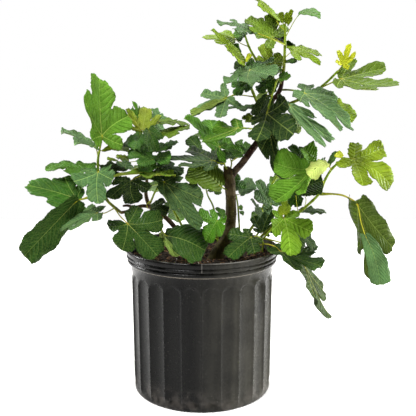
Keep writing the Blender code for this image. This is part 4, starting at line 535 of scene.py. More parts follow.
        Leaf(THREE, Tone.DEEP, (299, 196, -1.4), dict(tip=(286, 207, -1), left=(298, 207, -0.4),
            right=(288, 195, -3)), ((304, 207.5, 1.5), (306, 199, -1), (302.5, 193.5, -1.8))),
    )),
    "right_base": Shoot(Start.SOIL, (
        Stem(((254, 255.5, -1), (257, 247, 0.4), (262, 240, 2.2), (270, 231, 3.6), (277, 223, 4.4)),
            (2, 1.4)),
    ), (
        Leaf(FIVE, Tone.FRESH, (284, 218, 5), dict(tip=(290, 257, 10.5), left=(313, 231, 7.5),
            right=(272, 229, 8.5), low_left=(298, 212, 4.2), low_right=(273, 212.5, 5.2))),
        Leaf(THREE, Tone.LIME, (283, 214, 5.2), dict(tip=(284, 200.5, 4), left=(278.5, 207, 5),
            right=(290.5, 206.5, 4.4))),
        Leaf(THREE, Tone.DARK, (296, 228, 2.6), dict(tip=(317, 249, 3.6), left=(309, 234, 0.5),
            right=(299, 248, 5.6)), ((277, 223, 4.4), (286, 225, 2.8))),
        Leaf(FIVE, Tone.DARK, (281, 251.5, 5.8), dict(tip=(322, 266, 6.5), left=(315, 250, 2),
            right=(295, 270, 9.5), low_right=(272, 250, 6.5)),
            ((257.5, 246, 0.6), (265, 244, 3.2), (274, 246, 5))),
        Leaf(THREE, Tone.INK, (305, 267, 4.4), dict(tip=(330, 317, 7), left=(317, 300, 10),
            right=(328, 296, 2.5)), ((263.5, 238.5, 2.6), (282, 243, 1.4), (297, 251, 1), (304, 262, 3))),
    )),
    "right_inner": Shoot(Start.SOIL, (
        Stem(((247, 244, -6), (255, 237, -6.2), (261, 229, -6.2), (265, 220, -6)), (1.8, 1.4)),
    ), (
        Leaf(FIVE, Tone.DARK, (262, 232, -4), dict(tip=(272, 209, -3.4), left=(253, 217, -2.6),
            right=(275, 227, -4), low_left=(254, 229, -2.6), low_right=(270, 235, -4.6)),
            ((259, 232.5, -6.1),)),
        Leaf(THREE, Tone.DUSKY, (262, 221, -6.9), dict(tip=(250.5, 199.5, -7.4), left=(255, 211, -5.6),
            right=(258.5, 206.5, -8.4))),
        Leaf(FIVE, Tone.GREY, (271, 204, -4.4), dict(tip=(257.5, 180.5, -6.5), left=(254, 193, -4),
            right=(271, 185, -7.5), low_right=(282, 198, -6)), ((268, 212, -5.8),)),
    )),
    "back_left": Shoot(Start.SOIL, (
        Stem(((188, 245, -8), (186, 236, -8.6), (180, 222, -9.6), (172, 208, -10.6), (165, 196, -11.2),
            (160, 186, -11.6)), (2.6, 1.6)),
    ), (
        Leaf(FIVE, Tone.MID, (159, 184, -12.6), dict(tip=(154, 192, -20), left=(140, 190, -16),
            right=(176, 189, -16.5), low_left=(146, 184, -11.5), low_right=(172, 183, -12))),
        Leaf(FIVE, Tone.DEEP, (173, 206, -12), dict(tip=(178, 222, -19), left=(160, 217, -15),
            right=(192, 214, -17), low_left=(165, 206, -10.5), low_right=(184, 203, -13))),
        Leaf(THREE, Tone.MID, (184, 226, -10.5), dict(tip=(196, 233, -16.5), left=(181, 232, -14),
            right=(202, 226, -13.5))),
    )),
    "back_right": Shoot(Start.SOIL, (
        Stem(((240, 245.6, -7.4), (249, 232, -8.6), (259, 216, -9.6), (266, 200, -10), (271, 186, -10.2),
            (280, 172, -10.4), (290, 161, -10.4)), (2.8, 1.7)),
    ), (
        Leaf(FIVE, Tone.MID, (292, 159, -11), dict(tip=(300, 168, -18.5), left=(280, 166, -15),
            right=(315, 160, -15), low_left=(284, 159, -10.5), low_right=(306, 156, -11))),
        Leaf(FIVE, Tone.MID, (283, 175, -11.4), dict(tip=(284, 190, -18.5), left=(270, 184, -14.5),
            right=(299, 184, -15.5), low_left=(275, 176, -10.8), low_right=(295, 174, -11.8))),
        Leaf(FIVE, Tone.DEEP, (262, 210, -11), dict(tip=(258, 226, -18), left=(250, 221, -14.5),
            right=(272, 222, -15), low_left=(255, 212, -10.5), low_right=(270, 211, -11))),
    )),
    "front_low": Shoot(Start.SOIL, (
        Stem(((262.5, 250.5, -2.4), (263, 243, -1.6), (260.5, 238.5, 0.6), (257, 236, 2.4)), (1.7, 1.3)),
    ), (
        Leaf(FIVE, Tone.DARK, (251, 237.5, 4.2), dict(tip=(227, 259, 9), left=(256, 253, 7.5),
            right=(228, 233, 5.5), low_left=(262, 242, 4.4), low_right=(245.5, 228.5, 2.6))),
    )),
}


def sight(across: float, down: float, forward: float) -> Array:
    """The point that the viewer sees at a place: a ray of the picture, cut that far forward.

    Args:
        across: picture units from the picture's left edge.
        down: picture units from its top edge.
        forward: centimetres in front of the pot's axis.

    Returns:
        The point in metres.
    """
    slope = (PICTURE_CENTRE - down) / PICTURE_DEPTH
    ahead = cos(EYE_PITCH) + slope * sin(EYE_PITCH)
    rise = slope * cos(EYE_PITCH) - sin(EYE_PITCH)
    far = (EYE_BACK - forward * CENTIMETRE) / ahead
    right = (across - PICTURE_CENTRE) / PICTURE_DEPTH
    return np.array([EYE_RIGHT + right * far, -forward * CENTIMETRE, EYE_HEIGHT + rise * far])


def places(way: tuple[Place, ...]) -> Array:
    """The points in metres of a list of places, one row each."""
    return np.array([sight(*place) for place in way])


def unit(vectors: Array) -> Array:
    """Vectors, one row each, made one long."""
    return vectors / np.maximum(np.linalg.norm(vectors, axis=-1, keepdims=True), 1e-12)


def smooth_way(points: Array, steps: int) -> Array:
    """A smooth curve through points, each span a cubic whose slopes come from its neighbours.

    Args:
        points: the points, one row each.
        steps: how many pieces each span is cut into.

    Returns:
        The curve's points.
    """
    points = np.asarray(points, float)
    ends = np.vstack([2 * points[0] - points[1], points, 2 * points[-1] - points[-2]])
    a, b, c, d = (ends[i : len(ends) - 3 + i, None, :] for i in range(4))
    t = (np.arange(steps) / steps)[None, :, None]
    square = 2 * a - 5 * b + 4 * c - d
    cube = 3 * b - a - 3 * c + d
    curve = 0.5 * (2 * b + (c - a) * t + square * t**2 + cube * t**3)
    return np.vstack([curve.reshape(-1, points.shape[1]), points[-1:]])


def spread(values: tuple[float, ...], count: int) -> Array:
    """Values set at even distances and filled in between them."""
    return np.interp(np.linspace(0, 1, count), np.linspace(0, 1, len(values)), values)


def way_along(curve: Array) -> Array:
    """How far along a curve each of its points lies."""
    return np.concatenate([[0], np.cumsum(np.linalg.norm(np.diff(curve, axis=0), axis=1))])


def points_at(curve: Array, way: Array, wanted: Array) -> Array:
    """The points of a curve at wanted distances; way holds its own points' distances."""
    return np.column_stack([np.interp(wanted, way, part) for part in curve.T])


def turns_round(columns: int) -> Array:
    """The angles of evenly set columns around an axis."""
    return 2 * pi * np.arange(columns) / columns


def rooted(curve: Array, radii: Array, depth: float, flare: float = 1.0) -> tuple[Array, Array]:
    """Start a stem straight below its first point, at a depth under the soil and thicker by a flare."""
    foot = curve[0] - (0, 0, curve[0][2] - SOIL_LEVEL + depth)
    return np.vstack([foot, curve]), np.concatenate([radii[:1] * flare, radii])


def ripple(points: Array, length: float, seed: int) -> Array:
    """Soft noise from -1 to 1: a mean of plane sine waves of one length in seeded directions.

    Args:
        points: where to read it, one row each.
        length: the waves' length in metres.
        seed: which waves to take.

    Returns:
        One value for each point.
    """
    waves = np.random.default_rng(seed)
    ways = unit(waves.normal(size=(7, points.shape[1]))) * waves.uniform(0.7, 1.5, (7, 1))
    phases = waves.uniform(0, 2 * pi, 7)
    return np.sin(points @ ways.T * (2 * pi / length) + phases).mean(axis=1) * 1.8


@dataclass
class Patch:
    """A part of a piece's surface.

    Attributes:
        points: corner places in metres, one row each.
        faces: arrays of corner numbers, each with three or four columns.
        tone: a linear colour for each point.
        veins: for each array of faces, each face corner's place beside and along a leaf's rib.
        under: for each point, 1 on a leaf's lower face.
        quilt: how much a leaf swells between its veins.
        finish: which of the piece's materials the faces take.
    """

    points: Array
    faces: list[Array]
    tone: Array
    veins: list[Array] | None = None
    under: Array | None = None
    quilt: float = 0.5
    finish: int = 0


def make_piece(name: str, patches: list[Patch], finishes: list[Material]) -> Thing:
    """Join patches into one mesh object whose place is in its mesh.

    Args:
        name: the piece's name.
        patches: its surface.
        finishes: its materials, in the order that the patches number them.

    Returns:
        The object.
    """
    corners, sizes, veins, finish = [], [], [], []
    start = 0
    for patch in patches:
        for i, faces in enumerate(patch.faces):
            corners.append(faces.ravel() + start)
            sizes.append(np.full(len(faces), faces.shape[1]))
            finish.append(np.full(len(faces), patch.finish))
            veins.append(patch.veins[i].reshape(-1, 2) if patch.veins else np.zeros((faces.size, 2)))
        start += len(patch.points)
    points = np.vstack([patch.points for patch in patches]).astype(np.float32)
    tone = np.vstack([np.column_stack([patch.tone, np.ones(len(patch.tone))]) for patch in patches])
    under = np.concatenate([np.zeros(len(p.points)) if p.under is None else p.under for p in patches])
    quilt = np.concatenate([np.full(len(patch.points), patch.quilt) for patch in patches])
    corners, sizes = np.concatenate(corners), np.concatenate(sizes)
    mesh = bpy.data.meshes.new(name)
    mesh.vertices.add(len(points))
    mesh.vertices.foreach_set("co", points.ravel())
    mesh.loops.add(len(corners))
    mesh.loops.foreach_set("vertex_index", corners.astype(np.int32))
    mesh.polygons.add(len(sizes))
    mesh.polygons.foreach_set("loop_start", (np.cumsum(sizes) - sizes).astype(np.int32))
    mesh.polygons.foreach_set("material_index", np.concatenate(finish).astype(np.int32))
    mesh.update(calc_edges=True)
    layer = mesh.uv_layers.new(name="veins")
    layer.uv.foreach_set("vector", np.vstack(veins).astype(np.float32).ravel())
    for label, kind, field, values in (
        ("tone", "FLOAT_COLOR", "color", tone),
        ("under", "FLOAT", "value", under),
        ("quilt", "FLOAT", "value", quilt),
    ):
        layer = mesh.attributes.new(label, kind, "POINT")
        layer.data.foreach_set(field, values.astype(np.float32).ravel())
    mesh.shade_smooth()
    mesh.validate()
    for material in finishes:
        mesh.materials.append(material)
    thing = bpy.data.objects.new(name, mesh)
    bpy.context.scene.collection.objects.link(thing)
    return thing


def grid_faces(rows: int, columns: int, closed: bool) -> Array:
    """Four-cornered faces between the rows of a grid of points.

    Args:
        rows: how many rows of points there are.
        columns: how many points each row has.
        closed: whether each row runs round into itself.

    Returns:
        Corner numbers, one row for each face.
    """
    across = np.arange(columns if closed else columns - 1)
    beside = (across + 1) % columns
    low = np.arange(rows - 1)[:, None] * columns
    high = low + columns
    return np.stack([low + across, low + beside, high + beside, high + across], axis=-1).reshape(-1, 4)


def closed_faces(rings: int, columns: int) -> list[Array]:
    """The faces of a stack of rings: quads between them, and a fan to a pole at either end.

    Args:
        rings: how many rings there are.
        columns: how many points each ring has; the first ring's pole and then the last
            ring's pole come after them.

    Returns:
        The quads' and the fans' corner numbers.
    """
    near = np.arange(columns)
    beside = (near + 1) % columns
    count = rings * columns
    last = count - columns
    fans = np.vstack([
        np.column_stack([beside, near, np.full(columns, count)]),
        np.column_stack([last + near, last + beside, np.full(columns, count + 1)]),
    ])
    return [grid_faces(rings, columns, True), fans]


def frames_along(curve: Array) -> tuple[Array, Array, Array]:
    """The directions of a curve at its points, and two more across it that turn as little as they can.

    Args:
        curve: the curve's points.

    Returns:
        The directions along, and the two across, one row for each point.
    """
    legs = unit(np.diff(curve, axis=0))
    along = unit(np.vstack([legs[:1], legs[:-1] + legs[1:], legs[-1:]]))
    side = np.cross(along[0], (0.31, 0.87, 0.38))
    sides = []
    for forward in along:
        side = unit(side - forward * np.dot(side, forward))
        sides.append(side)
    sides = np.array(sides)
    return along, sides, np.cross(along, sides)


def bar(curve: Array, radii: Array, columns: int, tone: Array, finish: int = 0) -> Patch:
    """A round bar along a curve: at each point a circle of that radius across it, with domed ends.

    Args:
        curve: the bar's middle line.
        radii: one radius for each point, or a grid of one for each point and column.
        columns: how many points each circle has.
        tone: a colour for each point of the curve, or a grid of one for each point and column.
        finish: the material that it takes.

    Returns:
        The bar's surface.
    """
    along, side, other = frames_along(curve)
    turns = turns_round(columns)
    round_way = np.cos(turns)[None, :, None] * side[:, None] + np.sin(turns)[None, :, None] * other[:, None]
    radii = np.broadcast_to(radii[:, None] if radii.ndim == 1 else radii, (len(curve), columns))
    skin = curve[:, None] + radii[:, :, None] * round_way
    lift = END_DOME * radii[[0, -1]].mean(axis=1)[:, None]
    poles = curve[[0, -1]] + lift * np.array([-along[0], along[-1]])
    points = np.vstack([skin.reshape(-1, 3), poles])
    if tone.ndim == 2:
        tone = np.broadcast_to(tone[:, None], (len(curve), columns, 3))
    tones = np.vstack([tone.reshape(-1, 3), tone[0].mean(axis=0), tone[-1].mean(axis=0)])
    way = way_along(curve) * MARKS_PER_METRE
    girth = 2 * pi * radii.mean() * MARKS_PER_METRE * np.arange(columns + 1) / columns
    marks = np.stack(np.broadcast_arrays(girth[None, :], way[:, None]), axis=-1).reshape(-1, 2)
    end_marks = np.zeros((2 * columns, 3, 2))
    end_marks[columns:, :, 1] = way[-1]
    veins = [marks[grid_faces(len(curve), columns + 1, False)], end_marks]
    return Patch(points, closed_faces(len(curve), columns), tones, veins, finish=finish)


def nearest_on(curves: list[Array], point: Array) -> Array:
    """The point of some curves that lies nearest to a point.

    Args:
        curves: the curves, each with its points in order.
        point: the point.

    Returns:
        The nearest point of any span.
    """
    best = np.inf
    found = point
    for curve in curves:
        a, step = curve[:-1], np.diff(curve, axis=0)
        share = np.clip(((point - a) * step).sum(axis=1) / (step**2).sum(axis=1), 0, 1)
        close = a + share[:, None] * step
        gaps = np.linalg.norm(point - close, axis=1)
        if gaps.min() < best:
            best = gaps.min()
            found = close[gaps.argmin()]
    return found


def on_ray(turn: float, reach: float) -> Array:
    """A point of a flat leaf, turned from the midrib, at a distance from the stalk."""
    return np.array([reach * cos(radians(turn)), reach * sin(radians(turn))])


def rib_of(plan: Plan, lobe: int) -> tuple[Array, float, float]:
    """A lobe's direction on the flat leaf, its reach and its half width; left lobes are negative."""
    turn, reach, half = plan.lobes[abs(lobe)]
    return on_ray(turn if lobe >= 0 else -turn, 1.0), reach, half


def lobe_points(plan: Plan, lobe: int, shape: Array) -> Array:
    """Points of a lobe on the flat leaf.

    Args:
        plan: the leaf's outline.
        lobe: which lobe; left ones are negative.
        shape: each point's way along the rib in reaches, and aside from it in half widths.

    Returns:
        The points.
    """
    rib, reach, half = rib_of(plan, lobe)
    across = np.array([-rib[1], rib[0]])
    return shape[:, :1] * reach * rib + shape[:, 1:] * half * across


def anchor(plan: Plan, name: str) -> Array:
    """Where a named place of a leaf lies on its flat outline.

    Args:
        plan: the leaf's outline.
        name: tip, mid (half way up the midrib), tip_left or tip_right (the middle lobe's
            widest places), left, right, low_left or low_right (the tips of the side lobes).

    Returns:
        The point.
    """
    side = -1 if name.endswith("left") else 1
    lobe = {"left": 1, "right": 1, "low_left": 2, "low_right": 2}.get(name)
    if lobe is not None and lobe < len(plan.lobes):
        return lobe_points(plan, side * lobe, np.array([[1.0, 0.0]]))[0]
    if name == "tip":
        return np.array([1.0, 0.0])
    if name == "mid":
        return np.array([0.5, 0.0])
    return lobe_points(plan, 0, np.array([[0.64 if len(plan.lobes) > 1 else 0.50, side]]))[0]


@dataclass
class Blade:
    """One leaf's blade and stalk: a thin closed shell bent over the sheet that its lobes span.

    Attributes:
        leaf: the leaf.
        seed: what tells this leaf's waves and tints from other leaves'.
        dome: how much the sheet falls towards its sides, as a share of the leaf's reach.
        hold: how strongly the lobes' places hold against the sheet's stiffness.
        thickness: from the upper face to the lower, in metres.
        tooth_length: along the margin, in metres.
        tooth_depth: across the margin, in metres.
        typical_size: the leaf that the teeth and veins are sized for, in metres.
        lines_across: how many faces lie between a rib and the margin.
        rib_end: how much of a lobe's reach the grid's inner line covers.
        edge: places on a lobe's edge, along its rib and aside from it.
        fullness: how much wider the lobes are than the plan's, middle lobe first.
        filling: how much less deep the clefts are than the plan's.
        wave_length: of the margin's waves, as a share of the leaf's reach.
        wave_depth: of those waves, as a share of the leaf's reach.
        rib_pale: the colour that the ribs tend to.
    """

    leaf: Leaf
    seed: int
    dome: float = 0.10
    hold: float = 4.0
    thickness: float = 0.00046
    tooth_length: float = 0.0066
    tooth_depth: float = 0.0016
    typical_size: float = 0.085
    lines_across: int = 6
    lines_small: int = 4
    small_size: float = 0.03
    rib_end: float = 0.94
    edge: tuple[Place2, ...] = ((0.70, 1.0), (0.89, 0.93), (0.98, 0.56))
    fullness: tuple[float, ...] = (1.28, 1.10, 1.08)
    filling: float = 0.98
    wave_length: float = 0.26
    wave_depth: float = 0.012
    rib_pale: str = "#b9bd62"
    stalk_green: str = "#8a981c"
    stalk_ripe: str = "#b08a26"

    def __post_init__(self) -> None:
        """Fit the leaf's sheet."""
        self.plan = self.leaf.form.value
        leaf = self.leaf
        self.chance = np.random.default_rng(self.seed)
        self.base = sight(*leaf.base)
        self.size = float(np.linalg.norm(sight(*leaf.reach["tip"]) - self.base))
        self.slopes = self.fit_sheet()
        self.scale = float(np.linalg.norm(self.slopes[0]))

    @staticmethod
    def terms(flat: Array) -> Array:
        """A bent sheet's terms at flat points: u, v, u squared, u times v, v squared."""
        u, v = flat.T
        return np.stack([u, v, u * u, u * v, v * v], axis=1)

    def fit_sheet(self) -> Array:
        """Find the least bent sheet, a little domed, that carries the lobes to their places.

        Returns:
            The sheet's slopes, one row for each of its five terms.
        """
        flat = np.array([anchor(self.plan, name) for name in self.leaf.reach])
        goals = places(tuple(self.leaf.reach.values())) - self.base
        bends = np.zeros((3, 5))
        bends[:, 2:] = np.eye(3)
        rows = np.vstack([self.hold * self.terms(flat), bends])
        slopes = np.linalg.lstsq(rows, np.vstack([self.hold * goals, np.zeros((3, 3))]), rcond=None)[0]
        top = np.cross(slopes[1], slopes[0])
        dome = -self.dome * np.linalg.norm(slopes[0]) * top / np.linalg.norm(top)
        wanted = np.array([dome, 0 * dome, dome])
        return np.linalg.lstsq(rows, np.vstack([self.hold * goals, wanted]), rcond=None)[0]

    def on_sheet(self, flat: Array) -> tuple[Array, Array]:
        """Points of the bent sheet and its upward normals: the slopes' crossed product there.

        Args:
            flat: points of the flat leaf.

        Returns:
            The points and the normals.
        """
        u, v = flat.T
        zero, one = 0 * u, 1 + 0 * u
        points = self.base + self.terms(flat) @ self.slopes
        along = np.stack([one, zero, 2 * u, v, zero], axis=1) @ self.slopes
        across = np.stack([zero, one, zero, u, 2 * v], axis=1) @ self.slopes
        return points, unit(np.cross(across, along))

    def margin(self) -> list[tuple[int, int, Array]]:
        """The leaf's smooth margin, cut at its clefts and tips.

        A smooth curve runs through the heel, each lobe's edges and tip, and each cleft.

        Returns:
            For each half of a lobe, the lobe, its side, and the margin from cleft to tip.
        """
        plan = self.plan
        last = len(plan.lobes) - 1
        half_stalk = 0.0007 / self.scale
        controls = [np.array([plan.notch, -half_stalk])]
        controls += [on_ray(-turn, reach) for turn, reach in plan.heel[::-1]]
        starts, tips = [0], []
        for lobe in range(-last, last + 1):
            full = self.fullness[abs(lobe)] * self.leaf.fuller
            edge = np.array(self.edge) * (1, full)
            controls += list(lobe_points(plan, lobe, edge * (1, -1)))
            tips.append(len(controls))
            controls.append(lobe_points(plan, lobe, np.array([[1.0, 0.0]]))[0])
            controls += list(lobe_points(plan, lobe, edge[::-1]))
            if lobe < last:
                cleft = abs(lobe) - 1 if lobe < 0 else lobe
                turn, reach = plan.clefts[cleft][0], plan.clefts[cleft][1] * self.filling
                starts.append(len(controls))
                controls.append(on_ray(-turn if lobe < 0 else turn, reach))
        controls += [on_ray(turn, reach) for turn, reach in plan.heel]
        controls.append(np.array([plan.notch, half_stalk]))
        starts.append(len(controls) - 1)
        fine = 10
        curve = smooth_way(np.array(controls), fine)
        halves = []
        for i, lobe in enumerate(range(-last, last + 1)):
            halves.append((lobe, -1, curve[starts[i] * fine : tips[i] * fine + 1]))
            halves.append((lobe, 1, curve[tips[i] * fine : starts[i + 1] * fine + 1][::-1]))
        return halves

    def toothed(self, edge: Array, side: int, count: int) -> Array:
        """A half lobe's margin at even distances, moved out and in by rounded teeth.

        The teeth are the absolute value of a sine of the way along, faded out at both ends.

        Args:
            edge: the smooth margin from cleft to tip.
            side: -1 for the lobe's left half and 1 for its right.
            count: how many points to give, less one.

        Returns:
            The margin's points.
        """
        way = way_along(edge)
        share = np.linspace(0, 1, count + 1)
        points = points_at(edge, way, share * way[-1])
        tangent = unit(np.gradient(points, axis=0))
        outward = np.column_stack([tangent[:, 1], -tangent[:, 0]]) * -side
        period = self.tooth() / self.scale
        run = share * way[-1] / period
        run = run + 0.25 * np.sin(2 * pi * run / 3.7 + self.chance.uniform(0, 6))
        depth = self.tooth_depth * min(1.0, self.tooth() / self.tooth_length) / self.scale
        fade = np.clip(np.minimum(share, 1 - share) * 9, 0, 1)
        teeth = depth * (np.abs(np.sin(pi * run)) - 0.55)
        swell = share * way[-1] / self.wave_length + 0.2 * np.sin(7 * share + self.chance.uniform(0, 6))
        waves = self.wave_depth * np.sin(2 * pi * (swell + self.chance.uniform(0, 1)))
        return points + outward * (fade * (teeth + waves))[:, None]

    def tooth(self) -> float:
        """The length of one tooth of this leaf's margin."""
        return self.tooth_length * min(1.0, (self.size / self.typical_size) ** 0.8 + 0.12)

    def rise(self, flat: Array, share: Array) -> Array:
        """How far the blade stands above its sheet.

        It rises with the distance from the nearest rib, and waves more towards its margin.

        Args:
            flat: points of the flat leaf.
            share: how far from rib to margin each point lies.

        Returns:
            The heights in metres.
        """
        last = len(self.plan.lobes) - 1
        gaps = []
        for lobe in range(-last, last + 1):
            rib, reach, _ = rib_of(self.plan, lobe)
            along = np.clip(flat @ rib, 0, reach)
            gaps.append(np.linalg.norm(flat - along[:, None] * rib, axis=1))
        gap = np.min(gaps, axis=0)
        channel = self.chance.uniform(0.16, 0.34) * (gap - 1.6 * gap**2)
        wave = 0.045 * share**2 * ripple(flat, 0.42, int(self.chance.integers(1e6)))
        buckle = 0.010 * np.sqrt(gap + 1e-9) * ripple(flat, 0.16, int(self.chance.integers(1e6)))
        return self.scale * (channel + wave + buckle)

    def tints(self, points: Array, colour: str) -> Array:
        """A colour for each point, a little lighter or darker from place to place.

        Args:
            points: the points.
            colour: the leaf's colour on this face.

        Returns:
            A linear colour for each point.
        """
        base = np.array(srgb(colour)) * self.chance.uniform(0.86, 1.12)
        shift = 1 + 0.10 * ripple(points, 0.06, int(self.chance.integers(1e6)))
        warm = 1 + 0.05 * ripple(points, 0.03, int(self.chance.integers(1e6)))
        return np.clip(base * np.column_stack([shift * warm, shift, shift]), 0, 1)

    def shell(self) -> Patch:
        """The blade: both faces over one grid for each half lobe, from rib to margin.

        A half lobe's grid is q + t (p - q), where q runs out along the rib, p runs along the
        margin and t goes from 0 to 1.

        Returns:
            The blade's surface.
        """
        halves = self.margin()
        lines = self.lines_across if self.size > self.small_size else self.lines_small
        share = np.linspace(0, 1, lines + 1)
        stretch = (self.typical_size / self.size) ** 0.7 * self.scale * MARKS_PER_METRE
        flats, shares, quads, marks = [], [], [], []
        start = 0
        for i in range(0, len(halves), 2):
            pair = halves[i : i + 2]
            lengths = [way_along(edge)[-1] * self.scale for _, _, edge in pair]
            count = max(7, round(max(lengths) / (self.tooth() / 3.4)))
            for lobe, side, edge in pair:
                rib, reach, _ = rib_of(self.plan, lobe)
                outer = self.toothed(edge, side, count)
                inner = self.rib_end * reach * (np.linspace(0, 1, count + 1) ** 1.5)[:, None] * rib
                cells = inner[:, None] + share[None, :, None] * (outer - inner)[:, None]
                flat = cells.reshape(-1, 2)
                beside = np.abs(flat[:, 0] * rib[1] - flat[:, 1] * rib[0])
                mark = np.column_stack([beside, flat @ rib]) * stretch
                faces = grid_faces(count + 1, lines + 1, False)
                quads.append(faces + start)
                marks.append(mark[faces])
                flats.append(flat)
                shares.append(np.tile(share, count + 1))
                start += len(flat)
        flat, faces, marks = np.vstack(flats), np.vstack(quads), np.vstack(marks)
        millionths = np.round(flat * 1e6).astype(np.int64)
        _, first, same = np.unique(millionths, axis=0, return_index=True, return_inverse=True)
        flat, share, faces = flat[first], np.concatenate(shares)[first], same.reshape(-1)[faces]
        a, b, c, d = (flat[faces[:, k]] for k in range(4))
        area = np.cross(c - a, d - b)
        keep = np.abs(area) > 1e-9
        turn = (area > 0)[:, None]
        faces = np.where(turn, faces[:, ::-1], faces)[keep]
        marks = np.where(turn[:, :, None], marks[:, ::-1], marks)[keep]
        return self.thick(flat, share, faces, marks)

    def thick(self, flat: Array, share: Array, faces: Array, marks: Array) -> Patch:
        """Give the blade its two faces and its rim.

        Args:
            flat: points of the flat leaf.
            share: how far from rib to margin each lies.
            faces: the upper face's quads.
            marks: each face corner's place beside and along its rib.

        Returns:
            The closed shell.
        """
        points, normals = self.on_sheet(flat)
        points = points + normals * self.rise(flat, share)[:, None]
        count = len(points)
        half = normals * self.thickness / 2
        edges = np.stack([faces, np.roll(faces, -1, axis=1)], axis=-1).reshape(-1, 2)
        corner_marks = np.stack([marks, np.roll(marks, -1, axis=1)], axis=2).reshape(-1, 2, 2)
        _, first, times = np.unique(np.sort(edges, axis=1), axis=0, return_index=True, return_counts=True)
        border = first[times == 1]
        a, b = edges[border].T
        rim = np.column_stack([b, a, a + count, b + count])
        rim_marks = corner_marks[border][:, [1, 0, 0, 1]]
        tone = self.leaf.tone.value
        return Patch(
            points=np.vstack([points + half, points - half]),
            faces=[faces, faces[:, ::-1] + count, rim],
            tone=np.vstack([self.tints(points, tone.top), self.tints(points, tone.under)]),
            veins=[marks, marks[:, ::-1], rim_marks],
            under=np.concatenate([np.zeros(count), np.ones(count)]),
            quilt=tone.quilt,
        )

    def ribs(self) -> list[Patch]:
        """The raised ribs on the lower face: thin bars that taper to each lobe's tip.

        Returns:
            One bar for each lobe.
        """
        last = len(self.plan.lobes) - 1
        pale = np.array(srgb(self.leaf.tone.value.under)) * 0.45 + np.array(srgb(self.rib_pale)) * 0.55
        thick = float(np.clip(0.0095 * self.size, 0.00028, 0.00078))
        share = np.linspace(0, 0.90, 12)
        bars = []
        for lobe in range(-last, last + 1):
            rib, reach, _ = rib_of(self.plan, lobe)
            flat = share[:, None] * reach * rib
            points, normals = self.on_sheet(flat)
            curve = points - normals * (0.25 * thick)
            radii = thick * (0.85 if lobe else 1.0) * (1 - 0.72 * share)
            bars.append(bar(curve, radii, 6, np.tile(pale, (len(share), 1)), finish=1))
        return bars

    def stalk(self, curves: list[Array]) -> Patch:
        """The stalk: a round bar from the stem along its way and into the blade's base.

        Args:
            curves: the middle lines of the stems that carry the leaf.

        Returns:
            The bar.
        """
        way = list(places(self.leaf.stalk)) if self.leaf.stalk else []
        root = nearest_on(curves, way[0] if way else self.base)
        way = [point for point in way if np.linalg.norm(point - root) > 0.004]
        back = -unit(self.slopes[0])
        along, normal = self.on_sheet(np.array([[0.0, 0.0], [0.05, 0.0]]))
        near = way[-1] if way else root
        room = np.linalg.norm(near - self.base)
        if room > 0.008:
            way.append(self.base + 0.22 * room * unit(unit(near - self.base) + 0.9 * back))
        curve = smooth_way(np.array([root, *way, self.base, along[1] - 0.0003 * normal[1]]), 6)
        thick = float(np.clip(0.0125 * self.size, 0.00055, 0.00125))
        radii = thick * (1.15 - 0.35 * np.linspace(0, 1, len(curve)))
        radii[:3] *= (1.5, 1.3, 1.12)
        radii[-6:] *= np.linspace(1.0, 0.45, 6)
        green, ripe = np.array(srgb(self.stalk_green)), np.array(srgb(self.stalk_ripe))
        ripeness = np.linspace(0.1, 1.0, len(curve))[:, None] * self.chance.uniform(0.3, 1.0)
        return bar(curve, radii, 8, green + (ripe - green) * ripeness, finish=1)


